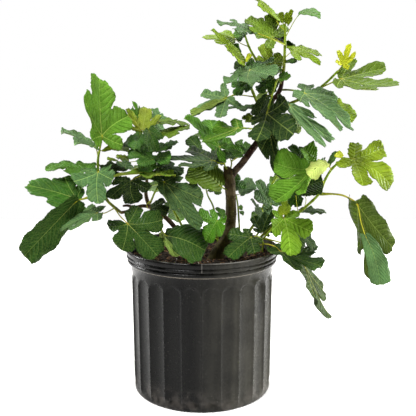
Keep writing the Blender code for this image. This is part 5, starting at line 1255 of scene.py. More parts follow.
class Graph:
    """A material's nodes, made and joined in a few words."""

    def __init__(self, name: str) -> None:
        """Start a material.

        Args:
            name: its name.
        """
        self.material = bpy.data.materials.new(name)
        self.material.use_nodes = True
        self.tree = self.material.node_tree
        self.shader = self.tree.nodes["Principled BSDF"]

    def node(self, kind: str, inputs: dict[str | int, object], **settings: object) -> bpy.types.Node:
        """Make a node; an input takes a value or another node's socket.

        Args:
            kind: the node's kind, without its family name.
            inputs: a value or a socket for each input's name or number.
            settings: the node's own settings.

        Returns:
            The node.
        """
        made = self.tree.nodes.new("ShaderNode" + kind)
        for key, value in settings.items():
            setattr(made, key, value)
        for key, value in inputs.items():
            if isinstance(value, Socket):
                self.tree.links.new(value, made.inputs[key])
            else:
                made.inputs[key].default_value = value
        return made

    def calc(self, operation: str, a: object, b: object = 0.0) -> Socket:
        """The result of a sum on numbers or sockets."""
        return self.node("Math", {0: a, 1: b, 2: 0.0}, operation=operation).outputs[0]

    def times(self, a: object, b: object) -> Socket:
        """The product of two numbers or sockets."""
        return self.calc("MULTIPLY", a, b)

    def plus(self, a: object, b: object) -> Socket:
        """The sum of two numbers or sockets."""
        return self.calc("ADD", a, b)

    def minus(self, a: object, b: object) -> Socket:
        """The first number or socket less the second."""
        return self.calc("SUBTRACT", a, b)

    def apart(self, a: object, b: object) -> Socket:
        """How far two numbers or sockets lie apart."""
        return self.calc("ABSOLUTE", self.minus(a, b))

    def step(self, value: object, low: float, high: float, start: float = 0.0, end: float = 1.0) -> Socket:
        """A value's soft step from start, at low, to end, at high."""
        inputs = {"Value": value, "From Min": low, "From Max": high, "To Min": start, "To Max": end}
        return self.node("MapRange", inputs, interpolation_type="SMOOTHSTEP").outputs[0]

    def mix(self, share: object, first: object, second: object, way: str = "MIX") -> Socket:
        """Mix two colours; a colour is a socket or a text such as "#35602a".

        Args:
            share: how much of the second there is, from 0 to 1.
            first: the first colour.
            second: the second colour.
            way: how they are mixed.

        Returns:
            The mixed colour.
        """
        first, second = ((*srgb(c), 1.0) if isinstance(c, str) else c for c in (first, second))
        inputs = {0: share, 6: first, 7: second}
        return self.node("Mix", inputs, data_type="RGBA", blend_type=way).outputs[2]

    def place(self) -> Socket:
        """The place on the piece, in metres."""
        return self.node("TexCoord", {}).outputs["Object"]

    def stretched(self, scale: tuple[float, float, float], place: object = None) -> Socket:
        """The place, multiplied along each axis."""
        return self.node("Mapping", {"Vector": place or self.place(), "Scale": scale}).outputs[0]

    def noise(self, scale: float, detail: float = 2.0, place: object = None) -> Socket:
        """Cloudy noise from 0 to 1, with so many clouds to a metre."""
        inputs = {"Vector": place or self.place(), "Scale": scale, "Detail": detail}
        return self.node("TexNoise", inputs).outputs[0]

    def cells(self, scale: float, place: object = None) -> Socket:
        """The distance to the nearest border of a net of cells."""
        inputs = {"Vector": place or self.place(), "Scale": scale}
        return self.node("TexVoronoi", inputs, feature="DISTANCE_TO_EDGE").outputs["Distance"]

    def attribute(self, name: str, output: str = "Fac") -> Socket:
        """A value or colour that the piece holds for each of its points."""
        return self.node("Attribute", {}, attribute_name=name).outputs[output]

    def marks(self) -> tuple[Socket, Socket]:
        """The piece's own two coordinates, in tenths of a metre.

        Returns:
            On a leaf, the way beside and along the rib; on a bar, around and along it.
        """
        layer = self.node("UVMap", {}, uv_map="veins").outputs[0]
        parts = self.node("SeparateXYZ", {0: layer}).outputs
        return parts[0], parts[1]

    def lit(self, colour: object, factor: object) -> Socket:
        """A colour made lighter or darker by a factor."""
        return self.node("HueSaturation", {"Color": colour, "Value": factor}).outputs[0]

    def done(self, colour: object, roughness: object, height: object, depth: float, gloss: float) -> Material:
        """Give the shader its colour, roughness and relief.

        Args:
            colour: the base colour.
            roughness: from 0 to 1.
            height: the relief, from about 0 to 1.
            depth: how many metres one unit of the relief is.
            gloss: how strongly the surface mirrors.

        Returns:
            The material.
        """
        for label, value in (("Base Color", colour), ("Roughness", roughness)):
            if isinstance(value, Socket):
                self.tree.links.new(value, self.shader.inputs[label])
            else:
                self.shader.inputs[label].default_value = value
        self.shader.inputs["Specular IOR Level"].default_value = gloss
        bump = self.node("Bump", {"Height": height, "Distance": depth, "Strength": 1.0})
        self.tree.links.new(bump.outputs[0], self.shader.inputs["Normal"])
        return self.material


@dataclass(frozen=True)
class LeafFinish:
    """A fig leaf's skin: light ribs and side veins, a fine net, and quilting between the veins.

    The veins layer gives how far a point lies beside its rib, and how far along it. A side
    vein runs where (along - slant beside - curl beside squared) / spacing, swayed by soft
    noise, lies half way between two whole numbers.

    Attributes:
        spacing: from one side vein to the next, in tenths of a metre, as the widths are.
        net_scale: how many cells of the fine net lie in a metre.
    """

    spacing: float = 0.088
    slant: float = 0.55
    curl: float = 1.6
    rib_width: float = 0.0085
    vein_width: float = 0.0052
    net_scale: float = 230.0
    depth: float = 0.0014

    def make(self) -> Material:
        """Make the material.

        Returns:
            The material.
        """
        g = Graph("leaf_skin")
        beside, along = g.marks()
        under = g.attribute("under")
        tone = g.attribute("tone", "Color")
        quilt = g.attribute("quilt")
        bend = g.times(g.times(beside, beside), self.curl)
        run = g.minus(g.minus(along, g.times(beside, self.slant)), bend)
        sway = g.times(g.noise(60.0), 0.5)
        count = g.plus(g.calc("DIVIDE", run, self.spacing), sway)
        gap = g.apart(g.calc("FRACT", count), 0.5)
        wide = g.times(gap, self.spacing)
        side_vein = g.step(wide, self.vein_width * 0.3, self.vein_width, 1.0, 0.0)
        rib = g.step(beside, self.rib_width * 0.35, self.rib_width, 1.0, 0.0)
        net = g.step(g.cells(self.net_scale), 0.0, 0.16, 1.0, 0.0)
        lines = g.calc("MAXIMUM", rib, g.times(side_vein, 0.55))
        lines = g.calc("MAXIMUM", lines, g.times(net, 0.22))
        colour = g.lit(tone, g.step(g.noise(38.0, 3.0), 0.3, 0.7, 0.78, 1.16))
        colour = g.mix(g.step(g.noise(160.0, 2.0), 0.52, 0.75, 0.0, 0.30), colour, g.lit(tone, 1.5))
        pale = g.mix(0.38, g.lit(colour, 2.4), "#a4b45e")
        colour = g.mix(g.times(lines, 0.85), colour, pale)
        pillow = g.times(g.times(g.step(gap, 0.0, 0.42), quilt), 1.4)
        crumple = g.times(g.noise(150.0, 2.0), 0.35)
        upper = g.minus(g.plus(pillow, crumple), g.times(lines, 0.5))
        lower = g.plus(g.times(lines, 0.8), g.times(pillow, -0.6))
        height = g.node("Mix", {0: under, 2: upper, 3: lower}, data_type="FLOAT").outputs[0]
        roughness = g.step(g.noise(90.0), 0.3, 0.7, 0.46, 0.62)
        return g.done(colour, roughness, height, self.depth, 0.08)


@dataclass(frozen=True)
class StalkFinish:
    """The smooth green to tan skin of stalks, ribs and young stems, with small pale pores."""

    depth: float = 0.0003

    def make(self) -> Material:
        """Make the material.

        Returns:
            The material.
        """
        g = Graph("stalk_skin")
        _, along = g.marks()
        tone = g.attribute("tone", "Color")
        grain = g.noise(420.0, 2.0, g.stretched((1.0, 1.0, 0.25)))
        colour = g.lit(tone, g.step(grain, 0.3, 0.7, 0.82, 1.16))
        pores = g.step(g.cells(330.0), 0.32, 0.48)
        colour = g.mix(g.times(pores, 0.14), colour, "#c2bf62")
        band = g.step(g.calc("FRACT", g.times(along, 9.0)), 0.90, 0.97, 0.0, 0.22)
        colour = g.mix(band, colour, "#7d6a3a")
        return g.done(colour, 0.55, g.plus(grain, pores), self.depth, 0.15)


@dataclass(frozen=True)
class BarkFinish:
    """Fig bark: smooth skin with long shallow cracks, ring scars, pores and dusty lichen."""

    depth: float = 0.0007

    def make(self) -> Material:
        """Make the material.

        Returns:
            The material.
        """
        g = Graph("bark_skin")
        _, along = g.marks()
        tone = g.attribute("tone", "Color")
        fibre = g.noise(300.0, 4.0, g.stretched((1.0, 1.0, 0.16)))
        cloud = g.noise(55.0, 3.0)
        colour = g.lit(tone, g.step(fibre, 0.28, 0.72, 0.62, 1.35))
        colour = g.mix(g.step(cloud, 0.50, 0.72, 0.0, 0.22), colour, "#85735a")
        colour = g.mix(g.step(g.noise(90.0, 3.0), 0.58, 0.70, 0.0, 0.45), colour, "#4b4a2c")
        rings = g.plus(g.times(along, 5.3), g.noise(40.0))
        scars = g.step(g.calc("FRACT", rings), 0.90, 0.96)
        colour = g.mix(g.times(scars, 0.45), colour, "#2e2318")
        pores = g.step(g.cells(260.0), 0.34, 0.46)
        colour = g.mix(g.times(pores, 0.34), colour, "#9a8562")
        height = g.minus(g.plus(fibre, g.times(pores, 0.4)), scars)
        return g.done(colour, 0.78, height, self.depth, 0.14)


@dataclass(frozen=True)
class PotFinish:
    """Black moulded plastic: satin grain, streaks, dust at the foot, dust and painted light over the right
    side, and painted highlights along the ledge (partly dust), along the lip and on the mould seam.

    Attributes:
        dusty_side: from where to where, to the right of the middle, the grey streaks grow: partly dust,
            partly painted light that makes that side lighter.
        dusty_foot: from where to where, above the base, the foot's dust fades.
        ledge: the height below the rim of the ledge's light line, a painted highlight that is partly dust.
        lip: from where to where, above the base, the rim's lip gets a painted highlight.
        seam: how far right of the middle the mould seam on the rim lies.
        seam_foot: from where to where, above the base, the seam starts.
    """

    grain: float = 900.0
    depth: float = 0.00012
    dusty_side: Place2 = (-0.030, 0.100)
    dusty_foot: Place2 = (0.004, 0.045)
    ledge: float = 0.2196
    lip: Place2 = (0.2424, 0.2434)
    seam: float = 0.0008
    seam_foot: Place2 = (0.2285, 0.2300)

    def make(self) -> Material:
        """Make the material.

        Returns:
            The material.
        """
        g = Graph("pot_plastic")
        right, _, height = g.node("SeparateXYZ", {0: g.place()}).outputs
        streaks = g.noise(70.0, 3.0, g.stretched((1.0, 1.0, 0.05)))
        colour = g.mix(g.step(streaks, 0.30, 0.75), "#040404", "#0d0d0c")
        clouds = g.step(g.noise(24.0, 3.0), 0.3, 0.7, 0.6, 1.0)
        # Painted light and dust: grey streaks over the right side only, partly dust and partly painted light
        # that makes that side lighter.
        dust = g.times(g.step(streaks, 0.30, 0.66, 0.55, 1.0), clouds)
        side = g.step(right, *self.dusty_side, 0.0, 0.36)
        colour = g.mix(g.times(dust, side), colour, "#67655a")
        low = g.times(g.step(height, *self.dusty_foot, 1.0, 0.0), g.step(g.noise(55.0, 4.0), 0.42, 0.66))
        colour = g.mix(g.times(low, 0.20), colour, "#77706a")
        # Painted highlight, partly dust: a light line along the ledge under the rim.
        worn = g.step(g.apart(height, self.ledge), 0.0006, 0.0019, 1.0, 0.0)
        worn = g.times(worn, g.step(g.noise(28.0, 2.0), 0.30, 0.55, 0.35, 1.0))
        colour = g.mix(g.times(worn, 0.42), colour, "#a39a8c")
        # Painted highlight along the rim's lip.
        lip = g.step(height, *self.lip, 0.0, 0.42)
        colour = g.mix(g.times(lip, g.step(g.noise(24.0, 2.0), 0.35, 0.6)), colour, "#8e8a84")
        # Painted highlight: the mould seam's nub drawn as a light line on the rim.
        seam = g.step(g.apart(right, self.seam), 0.0003, 0.0008, 1.0, 0.0)
        seam = g.times(seam, g.step(height, *self.seam_foot))
        colour = g.mix(g.times(seam, 0.35), colour, "#8e8a84")
        specks = g.step(g.noise(420.0, 2.0), 0.68, 0.76, 0.0, 0.16)
        colour = g.mix(specks, colour, "#8d8880")
        roughness = g.step(g.noise(120.0, 3.0), 0.3, 0.7, 0.20, 0.31)
        return g.done(colour, roughness, g.noise(self.grain, 1.0), self.depth, 0.11)


@dataclass(frozen=True)
class SoilFinish:
    """Damp dark potting mix and its bits of bark; each bit's own tint comes from the mesh."""

    depth: float = 0.0012

    def make(self) -> Material:
        """Make the material.

        Returns:
            The material.
        """
        g = Graph("potting_mix")
        crumbs = g.noise(380.0, 5.0)
        fine = g.noise(1500.0, 2.0)
        colour = g.lit(g.attribute("tone", "Color"), g.step(crumbs, 0.3, 0.7, 0.45, 1.6))
        colour = g.mix(g.step(fine, 0.60, 0.72, 0.0, 0.35), colour, "#6b5138")
        height = g.plus(crumbs, g.times(fine, 0.3))
        return g.done(colour, 0.92, height, self.depth, 0.15)


@dataclass(frozen=True)
class FloorFinish:
    """A plain pale studio floor."""

    colour: str = "#f7f6f4"

    def make(self) -> Material:
        """Make the material."""
        return Graph("studio_floor").done((*srgb(self.colour), 1.0), 0.6, 0.5, 0.0, 0.1)


@dataclass
class Foliage:
    """A leafy stem: round stems, stalks and blades, as one piece for its node."""

    name: str
    shoot: Shoot
    seed: int
    young: str = "#7b941c"
    old: str = "#57521c"
    root_depth: float = 0.020
    columns: int = 12
    node_gap: float = 0.021

    def curve(self, stem: Stem, first: bool) -> tuple[Array, Array]:
        """A stem's smooth middle line; one from the soil starts under its surface.

        Args:
            stem: the stem.
            first: whether it is the shoot's own first stem.

        Returns:
            The line and the radius at each of its points.
        """
        curve = smooth_way(places(stem.way), 6)
        radii = spread(stem.radius, len(curve)) / 1000
        if first and self.shoot.start is Start.SOIL:
            return rooted(curve, radii, self.root_depth)
        return curve, radii

    def skin(self, curve: Array, radii: Array, seed: int) -> Patch:
        """A stem's bar: a swollen node in each node gap, a bell curve of the way along it, and a
        colour that greens upwards.

        Args:
            curve: the stem's middle line.
            radii: its radius at each point.
            seed: where along the stem its nodes lie.

        Returns:
            The bar.
        """
        way = way_along(curve)
        count = max(6, round(way[-1] / 0.0022))
        even = np.linspace(0, way[-1], count)
        line = points_at(curve, way, even)
        nodes = np.exp(-(((even / self.node_gap + 0.37 * seed) % 1.0 - 0.5) ** 2) / 0.006)
        thick = np.interp(even, way, radii) * (1 + 0.16 * nodes)
        green, brown = np.array(srgb(self.young)), np.array(srgb(self.old))
        ripe = np.clip(1 - even / max(way[-1], 0.05), 0, 1)[:, None] ** 1.5
        tone = green + (brown - green) * ripe
        tone = tone * (1 - 0.30 * nodes[:, None])
        return bar(line, thick, self.columns, tone, finish=1)

    def build(self, finishes: list[Material]) -> Thing:
        """Make the piece.

        Args:
            finishes: the skins of the leaves and of the stalks.

        Returns:
            The piece, which stands for the node of its name.
        """
        lines = [self.curve(stem, i == 0) for i, stem in enumerate(self.shoot.stems)]
        patches = [self.skin(curve, radii, i) for i, (curve, radii) in enumerate(lines)]
        for i, leaf in enumerate(self.shoot.leaves):
            blade = Blade(leaf, self.seed * 100 + i)
            patches += [blade.shell(), blade.stalk([curve for curve, _ in lines]), *blade.ribs()]
        return make_piece(self.name + "_foliage", patches, finishes)


@dataclass
class Wood:
    """Woody stems with bark: knots, long ridges and a pruned top.

    Attributes:
        tones: each stem's colour at its foot and at its top.
        cut: how steeply each stem's top is cut, as its slope to the right; 0 is square.
        cut_reach: how far below the top the cut's slope begins, in metres.
        cut_colour: the bare wood's colour on a slanted cut.
    """

    name: str
    stems: tuple[Stem, ...]
    tones: tuple[tuple[str, str], ...]
    seed: int
    cut: tuple[float, ...]
    cut_reach: float = 0.012
    cut_colour: str = "#75654d"
    columns: int = 36
    step: float = 0.0016
    root_depth: float = 0.030

    def skin(self, stem: Stem, number: int) -> Patch:
        """One woody stem.

        Its radius at a turn and a height is the stem's own, times 1 + ridges + knots + rings:
        soft noise of the place, long in the stem's direction, and a bell curve at each ring.
        Near its top it is sheared: each point sinks by the cut's slope times how far it lies
        to the right of the middle line.

        Args:
            stem: the stem.
            number: its number among the stems.

        Returns:
            Its surface.
        """
        curve = smooth_way(places(stem.way), 12)
        radii = spread(stem.radius, len(curve)) / 1000
        if number == 0:
            curve, radii = rooted(curve, radii, self.root_depth, 1.15)
        way = way_along(curve)
        even = np.linspace(0, way[-1], max(8, round(way[-1] / self.step)))
        line = points_at(curve, way, even)
        thick = np.interp(even, way, radii)
        turns = turns_round(self.columns)
        cells = np.stack(np.broadcast_arrays(
            0.010 * np.cos(turns)[None, :], 0.010 * np.sin(turns)[None, :], even[:, None] * 0.35
        ), axis=-1).reshape(-1, 3)
        shape = (len(even), self.columns)
        ridges = 0.035 * ripple(cells, 0.009, self.seed + number).reshape(shape)
        knots = 0.050 * ripple(cells * (1, 1, 2.2), 0.022, self.seed + 50 + number).reshape(shape)
        rings = 0.05 * np.exp(-(((even / 0.026 + 0.2) % 1.0 - 0.5) ** 2) / 0.004)[:, None]
        grid = thick[:, None] * (1 + ridges + knots + rings)
        low, high = (np.array(srgb(c)) for c in self.tones[number])
        rise = np.linspace(0, 1, len(even))[:, None, None]
        tone = low + (high - low) * rise
        # Painted shade and light: the colour follows the relief, darker where the bark sinks and lighter
        # where it swells.
        tone = tone * (1 + 2.2 * (ridges + knots))[:, :, None]
        patch = bar(line, grid, self.columns, np.clip(tone, 0, 1))
        near = np.clip((even - way[-1] + self.cut_reach) / self.cut_reach, 0, 1)
        near = np.concatenate([np.repeat(near, self.columns), [0, 1]])
        patch.points[:, 2] -= self.cut[number] * near * (patch.points[:, 0] - line[-1, 0])
        if self.cut[number]:
            patch.tone[-1] = srgb(self.cut_colour)
        return patch

    def build(self, finishes: list[Material]) -> Thing:
        """Make the piece, which stands for the node of its name, in the bark's finish."""
        patches = [self.skin(stem, i) for i, stem in enumerate(self.stems)]
        return make_piece(self.name + "_bark", patches, finishes)


@dataclass
class Pot:
    """The nursery pot: a fluted wall under a banded rim, with round recesses for its drains.

    The sizes are metres: radii from the pot's axis and heights above its base. The flutes
    are flute_depth deep, with a bead on each ridge between them, and end below the neck
    under an arch of arch_height; they fade out over arch_fade and foot_fade.
    """

    rim_radius: float = 0.1270
    height: float = 0.2437
    rim_bottom: float = 0.2195
    neck_bottom: float = 0.2060
    ridge_top: float = 0.1174
    ridge_foot: float = 0.1152
    foot_radius: float = 0.1120
    foot_height: float = 0.0045
    flutes: int = 24
    flute_depth: float = 0.0034
    bead: float = 0.0009
    arch_height: float = 0.010
    arch_fade: float = 0.006
    foot_fade: float = 0.014
    inside_rim: float = 0.1228
    inside_top: float = 0.1128
    inside_foot: float = 0.1108
    floor: float = 0.0030
    drains: int = 6
    drain_radius: float = 0.0065
    drain_circle: float = 0.0800
    drain_depth: float = 0.0024
    drain_edge: float = 0.0008
    columns: int = 24 * 18

    def wall_radius(self, turn: Array, height: Array) -> Array:
        """The fluted wall's radius at a turn and a height.

        The ridge's radius grows with height. Each flute is a parabola across, 4 s (1 - s),
        faded out under an arch at its top and at the foot. A bead, a bell curve of that
        parabola, stands on each ridge.

        Args:
            turn: angles around the pot.
            height: heights above its base.

        Returns:
            The radii, over both.
        """
        climb = np.clip((height - self.foot_height) / (self.neck_bottom - self.foot_height), 0, 1)
        ridge = self.ridge_foot + (self.ridge_top - self.ridge_foot) * climb
        share = (turn / (2 * pi / self.flutes)) % 1.0
        deep = 4 * share * (1 - share)
        arch = self.neck_bottom - self.arch_height * (1 - deep)
        fade = np.clip((arch - height) / self.arch_fade, 0, 1)
        fade = fade * np.clip((height - self.foot_height) / self.foot_fade, 0, 1)
        fade = fade**2 * (3 - 2 * fade)
        bead = self.bead * np.exp(-((deep / 0.24) ** 2)) * fade
        return ridge + bead - self.flute_depth * deep**0.85 * fade

    def underside(self, angle: Array) -> tuple[Array, Array]:
        """The rings of the underside, with a round recess for each drain hole.

        How far a point lies from the nearest hole's middle follows from the cosine rule, and
        the recess's depth falls to nothing over the hole's rounded edge.

        Args:
            angle: each column's angle around the pot.

        Returns:
            The rings' radii, and the height of each point.
        """
        reach = np.concatenate([[0.030, 0.060], np.arange(0.0726, 0.0876, 0.0007), [0.100]])
        sector = 2 * pi / self.drains
        aside = angle % sector - sector / 2
        ring, circle = reach[:, None], self.drain_circle
        far = ring**2 + circle**2 - 2 * circle * ring * np.cos(aside)
        inside = (self.drain_radius - np.sqrt(np.maximum(far, 0))) / self.drain_edge
        return reach, self.drain_depth * np.clip(inside, 0, 1)

    def profile(self) -> Array:
        """The rings above the wall and inside it, from the neck over the rim to the inside floor.

        Returns:
            Each ring's radius and height.
        """
        b, top = self.rim_bottom, self.height
        rows = [
            (0.1180, b - 0.0018), (0.1192, b - 0.0008), (0.1216, b - 0.0002), (0.1227, b + 0.0004),
            (0.1235, b + 0.0014), (0.1241, b + 0.0030), (0.1244, b + 0.0046), (0.1242, b + 0.0058),
            (0.1234, b + 0.0066), (0.1226, b + 0.0072), (0.1229, b + 0.0079), (0.1243, b + 0.0087),
            (0.1254, b + 0.0099), (0.1258, b + 0.0114), (0.1257, b + 0.0128), (0.1249, b + 0.0136),
            (0.1240, b + 0.0142), (0.1243, b + 0.0149), (0.1257, b + 0.0157), (0.1264, b + 0.0170),
            (0.1267, b + 0.0190), (self.rim_radius, b + 0.0206), (self.rim_radius, top - 0.0022),
            (self.rim_radius - 0.0006, top - 0.0008), (self.rim_radius - 0.0016, top),
            (self.inside_rim + 0.0010, top), (self.inside_rim, top - 0.0010),
            (self.inside_rim, b + 0.0020), (self.inside_top, b - 0.0040), (self.inside_foot, self.floor),
        ]
        return np.array(rows)

    def build(self, finishes: list[Material]) -> Thing:
        """Make the pot as one closed surface of revolution with flutes.

        Its columns stand closer on the ridges: s less a tenth of sin(2 pi s), in flutes.

        Args:
            finishes: its material.

        Returns:
            The piece, which stands for the pot's node.
        """
        share = np.arange(self.columns) / self.columns * self.flutes
        turns = (share - 0.10 * np.sin(2 * pi * share)) * 2 * pi / self.flutes
        levels = np.concatenate([
            np.linspace(self.foot_height, 0.016, 8), np.linspace(0.022, 0.178, 14),
            np.linspace(0.182, self.neck_bottom, 22),
        ])
        wall = self.wall_radius(turns[None, :], levels[:, None])
        band = self.profile()
        foot = np.array([
            (self.foot_radius, 0.0), (0.1140, 0.0012), (self.ridge_foot, self.foot_height - 0.001),
        ])
        angle = turns - pi / 2
        reach, recess = self.underside(angle)
        round_rings = [np.tile(r[:, None], (1, self.columns)) for r in (reach, foot[:, 0], band[:, 0])]
        radii = np.vstack([*round_rings[:2], wall, round_rings[2]])
        levels = np.concatenate([foot[:, 1], levels, band[:, 1]])
        heights = np.vstack([recess, np.tile(levels[:, None], (1, self.columns))])
        rings = np.stack([radii * np.cos(angle), radii * np.sin(angle), heights], axis=2)
        poles = np.array([(0, 0, 0), (0, 0, self.floor)])
        points = np.vstack([rings.reshape(-1, 3), poles])
        faces = closed_faces(len(radii), self.columns)
        return make_piece("fluted_pot", [Patch(points, faces, np.full((len(points), 3), 0.02))], finishes)


@dataclass
class Soil:
    """The potting mix: a lumpy bed with loose bits of bark, wood and perlite on it.

    Attributes:
        rings: how many rings of points its top has.
        bits: how many bits of bark and wood lie on it.
        crumbs: how many crumbs of perlite lie on it.
    """

    radius: float = 0.1222
    level: float = SOIL_LEVEL
    bottom: float = 0.0036
    foot_radius: float = 0.1102
    neck_radius: float = 0.1122
    neck_level: float = 0.2160
    columns: int = 150
    rings: int = 60
    bits: int = 1300
    crumbs: int = 46
    seed: int = 11
    earth: str = "#2a211a"
    woods: tuple[str, ...] = ("#3a2a1e", "#4c3828", "#5f4733", "#241b15", "#2e2620", "#7a5c40")
    perlites: tuple[str, ...] = ("#e2dccf", "#cfc6b4", "#b9ab93")

    def surface(self, flat: Array) -> Array:
        """The bed's height: waves of three lengths, a little lower at the pot's wall.

        Args:
            flat: places on the bed, across and away.

        Returns:
            The heights.
        """
        far = np.linalg.norm(flat, axis=1) / self.radius
        lumps = 0.0016 * ripple(flat, 0.050, 3) + 0.0012 * ripple(flat, 0.019, 4)
        lumps = lumps + 0.0007 * ripple(flat, 0.008, 5)
        return self.level + lumps - 0.0012 * far**4

    def bed(self) -> Patch:
        """The bed as a closed bowlful: a foot, a wall and a lumpy top.

        Returns:
            Its surface.
        """
        turns = turns_round(self.columns)
        around = np.stack([np.cos(turns), np.sin(turns)], axis=1)
        share = np.linspace(1, 0.012, self.rings)
        top = (share[:, None, None] * self.radius * around[None]).reshape(-1, 2)
        top = np.column_stack([top, self.surface(top)])
        sides = (
            (self.foot_radius, self.bottom), (self.neck_radius, self.neck_level - 0.004),
            (self.radius, self.neck_level + 0.006),
        )
        walls = [np.column_stack([r * around, np.full(self.columns, h)]) for r, h in sides]
        points = np.vstack([*walls, top, [(0, 0, self.bottom)], [(0, 0, self.level)]])
        tone = np.tile(srgb(self.earth), (len(points), 1))
        return Patch(points, closed_faces(len(sides) + self.rings, self.columns), tone)

    def scattered(
        self, shape: Array, faces: Array, count: int, sizes: tuple[Place, Place], colours: tuple[str, ...]
    ) -> Patch:
        """One small shape, laid on the bed many times at seeded places, turns and sizes.

        Args:
            shape: the shape's corners, one long.
            faces: its faces.
            count: how many to lay.
            sizes: the least and the greatest length along its three axes, in metres.
            colours: what to choose each one's colour from.

        Returns:
            All of them.
        """
        chance = np.random.default_rng(self.seed + count)
        far = (self.radius - 0.004) * np.sqrt(chance.uniform(0, 1, count))
        turn = chance.uniform(0, 2 * pi, count)
        flat = np.column_stack([far * np.cos(turn), far * np.sin(turn)])
        size = chance.uniform(sizes[0], sizes[1], (count, 3))
        spin, tip = chance.uniform(0, 2 * pi, count), chance.normal(0, 0.32, count)
        corners = shape[None] * size[:, None] * chance.uniform(0.75, 1.2, (count, len(shape), 3))
        x = corners[:, :, 0] * np.cos(tip)[:, None] - corners[:, :, 2] * np.sin(tip)[:, None]
        z = corners[:, :, 0] * np.sin(tip)[:, None] + corners[:, :, 2] * np.cos(tip)[:, None]
        y = corners[:, :, 1]
        c, s = np.cos(spin)[:, None], np.sin(spin)[:, None]
        laid = np.stack([c * x - s * y, s * x + c * y, z], axis=-1)
        laid[:, :, :2] += flat[:, None]
        laid[:, :, 2] += (self.surface(flat) + 0.25 * size[:, 2])[:, None]
        palette = np.array([srgb(colour) for colour in colours])
        tone = palette[chance.integers(0, len(palette), count)] * chance.uniform(0.7, 1.25, (count, 1))
        all_faces = (faces[None] + (np.arange(count) * len(shape))[:, None, None]).reshape(-1, faces.shape[1])
        return Patch(laid.reshape(-1, 3), [all_faces], np.repeat(tone, len(shape), axis=0))

    def build(self, finishes: list[Material]) -> Thing:
        """Make the bed and what lies on it, as one piece.

        Args:
            finishes: its material.

        Returns:
            The piece, which stands for the soil's node.
        """
        box = np.array([(x, y, z) for z in (-0.5, 0.5) for y in (-0.5, 0.5) for x in (-0.5, 0.5)])
        sides = np.array([(0, 2, 3, 1), (4, 5, 7, 6), (0, 1, 5, 4), (2, 6, 7, 3), (0, 4, 6, 2), (1, 3, 7, 5)])
        sizes = ((0.002, 0.0012, 0.0006), (0.010, 0.0045, 0.0024))
        bark = self.scattered(box, sides, self.bits, sizes, self.woods)
        gem = np.array([(0.5, 0, 0), (-0.5, 0, 0), (0, 0.5, 0), (0, -0.5, 0), (0, 0, 0.5), (0, 0, -0.5)])
        facets = np.array([
            (0, 2, 4), (2, 1, 4), (1, 3, 4), (3, 0, 4), (2, 0, 5), (1, 2, 5), (3, 1, 5), (0, 3, 5),
        ])
        perlite = self.scattered(gem, facets, self.crumbs, ((0.0016,) * 3, (0.0042,) * 3), self.perlites)
        return make_piece("potting_mix_bed", [self.bed(), bark, perlite], finishes)


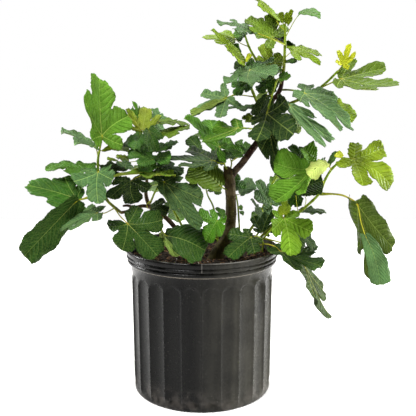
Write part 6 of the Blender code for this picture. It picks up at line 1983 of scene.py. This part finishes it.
@dataclass
class Studio:
    """A pale floor, soft light from large lamps, and the camera.

    Attributes:
        world: how strongly the surroundings light the plant.
        lamps: each lamp's place, its side and its power in watts.
    """

    floor_size: float = 3.0
    world: float = 0.20
    aim: Place = (0.0, 0.0, 0.30)
    lamps: tuple[tuple[Place, float, float], ...] = (
        ((-0.9, -1.1, 2.3), 0.7, 82.0),
        ((1.3, -0.7, 1.9), 0.9, 24.0),
        ((-1.7, 0.5, 0.7), 0.36, 36.0),
        ((1.7, 0.5, 0.6), 0.38, 54.0),
        ((1.5, -0.6, 0.5), 0.5, 7.0),
        ((0.3, 1.5, 2.2), 1.4, 34.0),
    )

    def floor(self) -> Thing:
        """Lay the floor.

        Returns:
            The floor.
        """
        half = self.floor_size / 2
        points = np.array([(-half, -half, 0), (half, -half, 0), (half, half, 0), (-half, half, 0)], float)
        patch = Patch(points, [np.array([(0, 1, 2, 3)])], np.full((4, 3), 0.9))
        floor = make_piece("studio_floor", [patch], [FloorFinish().make()])
        return floor

    def light(self) -> None:
        """Hang the lamps, each turned to the plant, and light the surroundings, which look white."""
        for number, (place, size, power) in enumerate(self.lamps):
            lamp = bpy.data.lights.new(f"softbox_{number}", "AREA")
            lamp.energy = power
            lamp.size = size
            thing = bpy.data.objects.new(lamp.name, lamp)
            thing.location = place
            away = Vector(np.array(place) - np.array(self.aim))
            thing.rotation_euler = away.to_track_quat("Z", "Y").to_euler()
            bpy.context.scene.collection.objects.link(thing)
        world = bpy.data.worlds.new("studio")
        world.use_nodes = True
        tree = world.node_tree
        ray = tree.nodes.new("ShaderNodeLightPath")
        share = tree.nodes.new("ShaderNodeMapRange")
        share.inputs["To Min"].default_value = self.world
        tree.links.new(ray.outputs["Is Camera Ray"], share.inputs["Value"])
        tree.nodes["Background"].inputs["Color"].default_value = (1, 1, 1, 1)
        tree.links.new(share.outputs[0], tree.nodes["Background"].inputs["Strength"])
        bpy.context.scene.world = world
        bpy.context.scene.view_settings.view_transform = "Standard"

    def camera(self) -> None:
        """Set the camera where the viewer stands."""
        data = bpy.data.cameras.new("viewer")
        data.angle = 2 * atan(PICTURE_CENTRE / PICTURE_DEPTH)
        data.clip_start = 0.01
        thing = bpy.data.objects.new("viewer", data)
        thing.location = (EYE_RIGHT, -EYE_BACK, EYE_HEIGHT)
        thing.rotation_euler = (pi / 2 - EYE_PITCH, 0, 0)
        bpy.context.scene.collection.objects.link(thing)
        bpy.context.scene.camera = thing


def attach(piece: Thing, node: str) -> None:
    """Let a piece stand for a node of the frame, and report it.

    Args:
        piece: the piece.
        node: the node that it stands for.
    """
    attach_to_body(piece, BODY)
    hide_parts(node)
    LOG.info("%s stands for %s with %d faces", piece.name, node, len(piece.data.polygons))


def main() -> None:
    """Build and dress the pot, the soil, the wood and the leafy stems, then the studio."""
    logging.basicConfig(level=logging.INFO, format="%(name)s: %(message)s")
    attach(Pot().build([PotFinish().make()]), "pot")
    attach(Soil().build([SoilFinish().make()]), "soil")
    bark = BarkFinish().make()
    trunk_tones = (("#39350f", "#30260f"), ("#200f07", "#27110a"))
    left_tones = (("#3c2f1e", "#402f1e"), ("#34221a", "#4c3c20"), ("#34221a", "#34221a"))
    trunk = Wood("trunk", TRUNK, trunk_tones, seed=21, cut=(0.4, 0.0))
    left = Wood("left_wood", LEFT_WOOD, left_tones, seed=31, cut=(0.0, 0.0, 0.0))
    attach(trunk.build([bark]), "trunk")
    attach(left.build([bark]), "left_wood")
    skins = [LeafFinish().make(), StalkFinish().make()]
    for seed, (name, shoot) in enumerate(SHOOTS.items(), start=1):
        attach(Foliage(name, shoot, seed).build(skins), name)
    studio = Studio()
    studio.floor()
    studio.light()
    studio.camera()


if __name__ == "__main__":
    main()
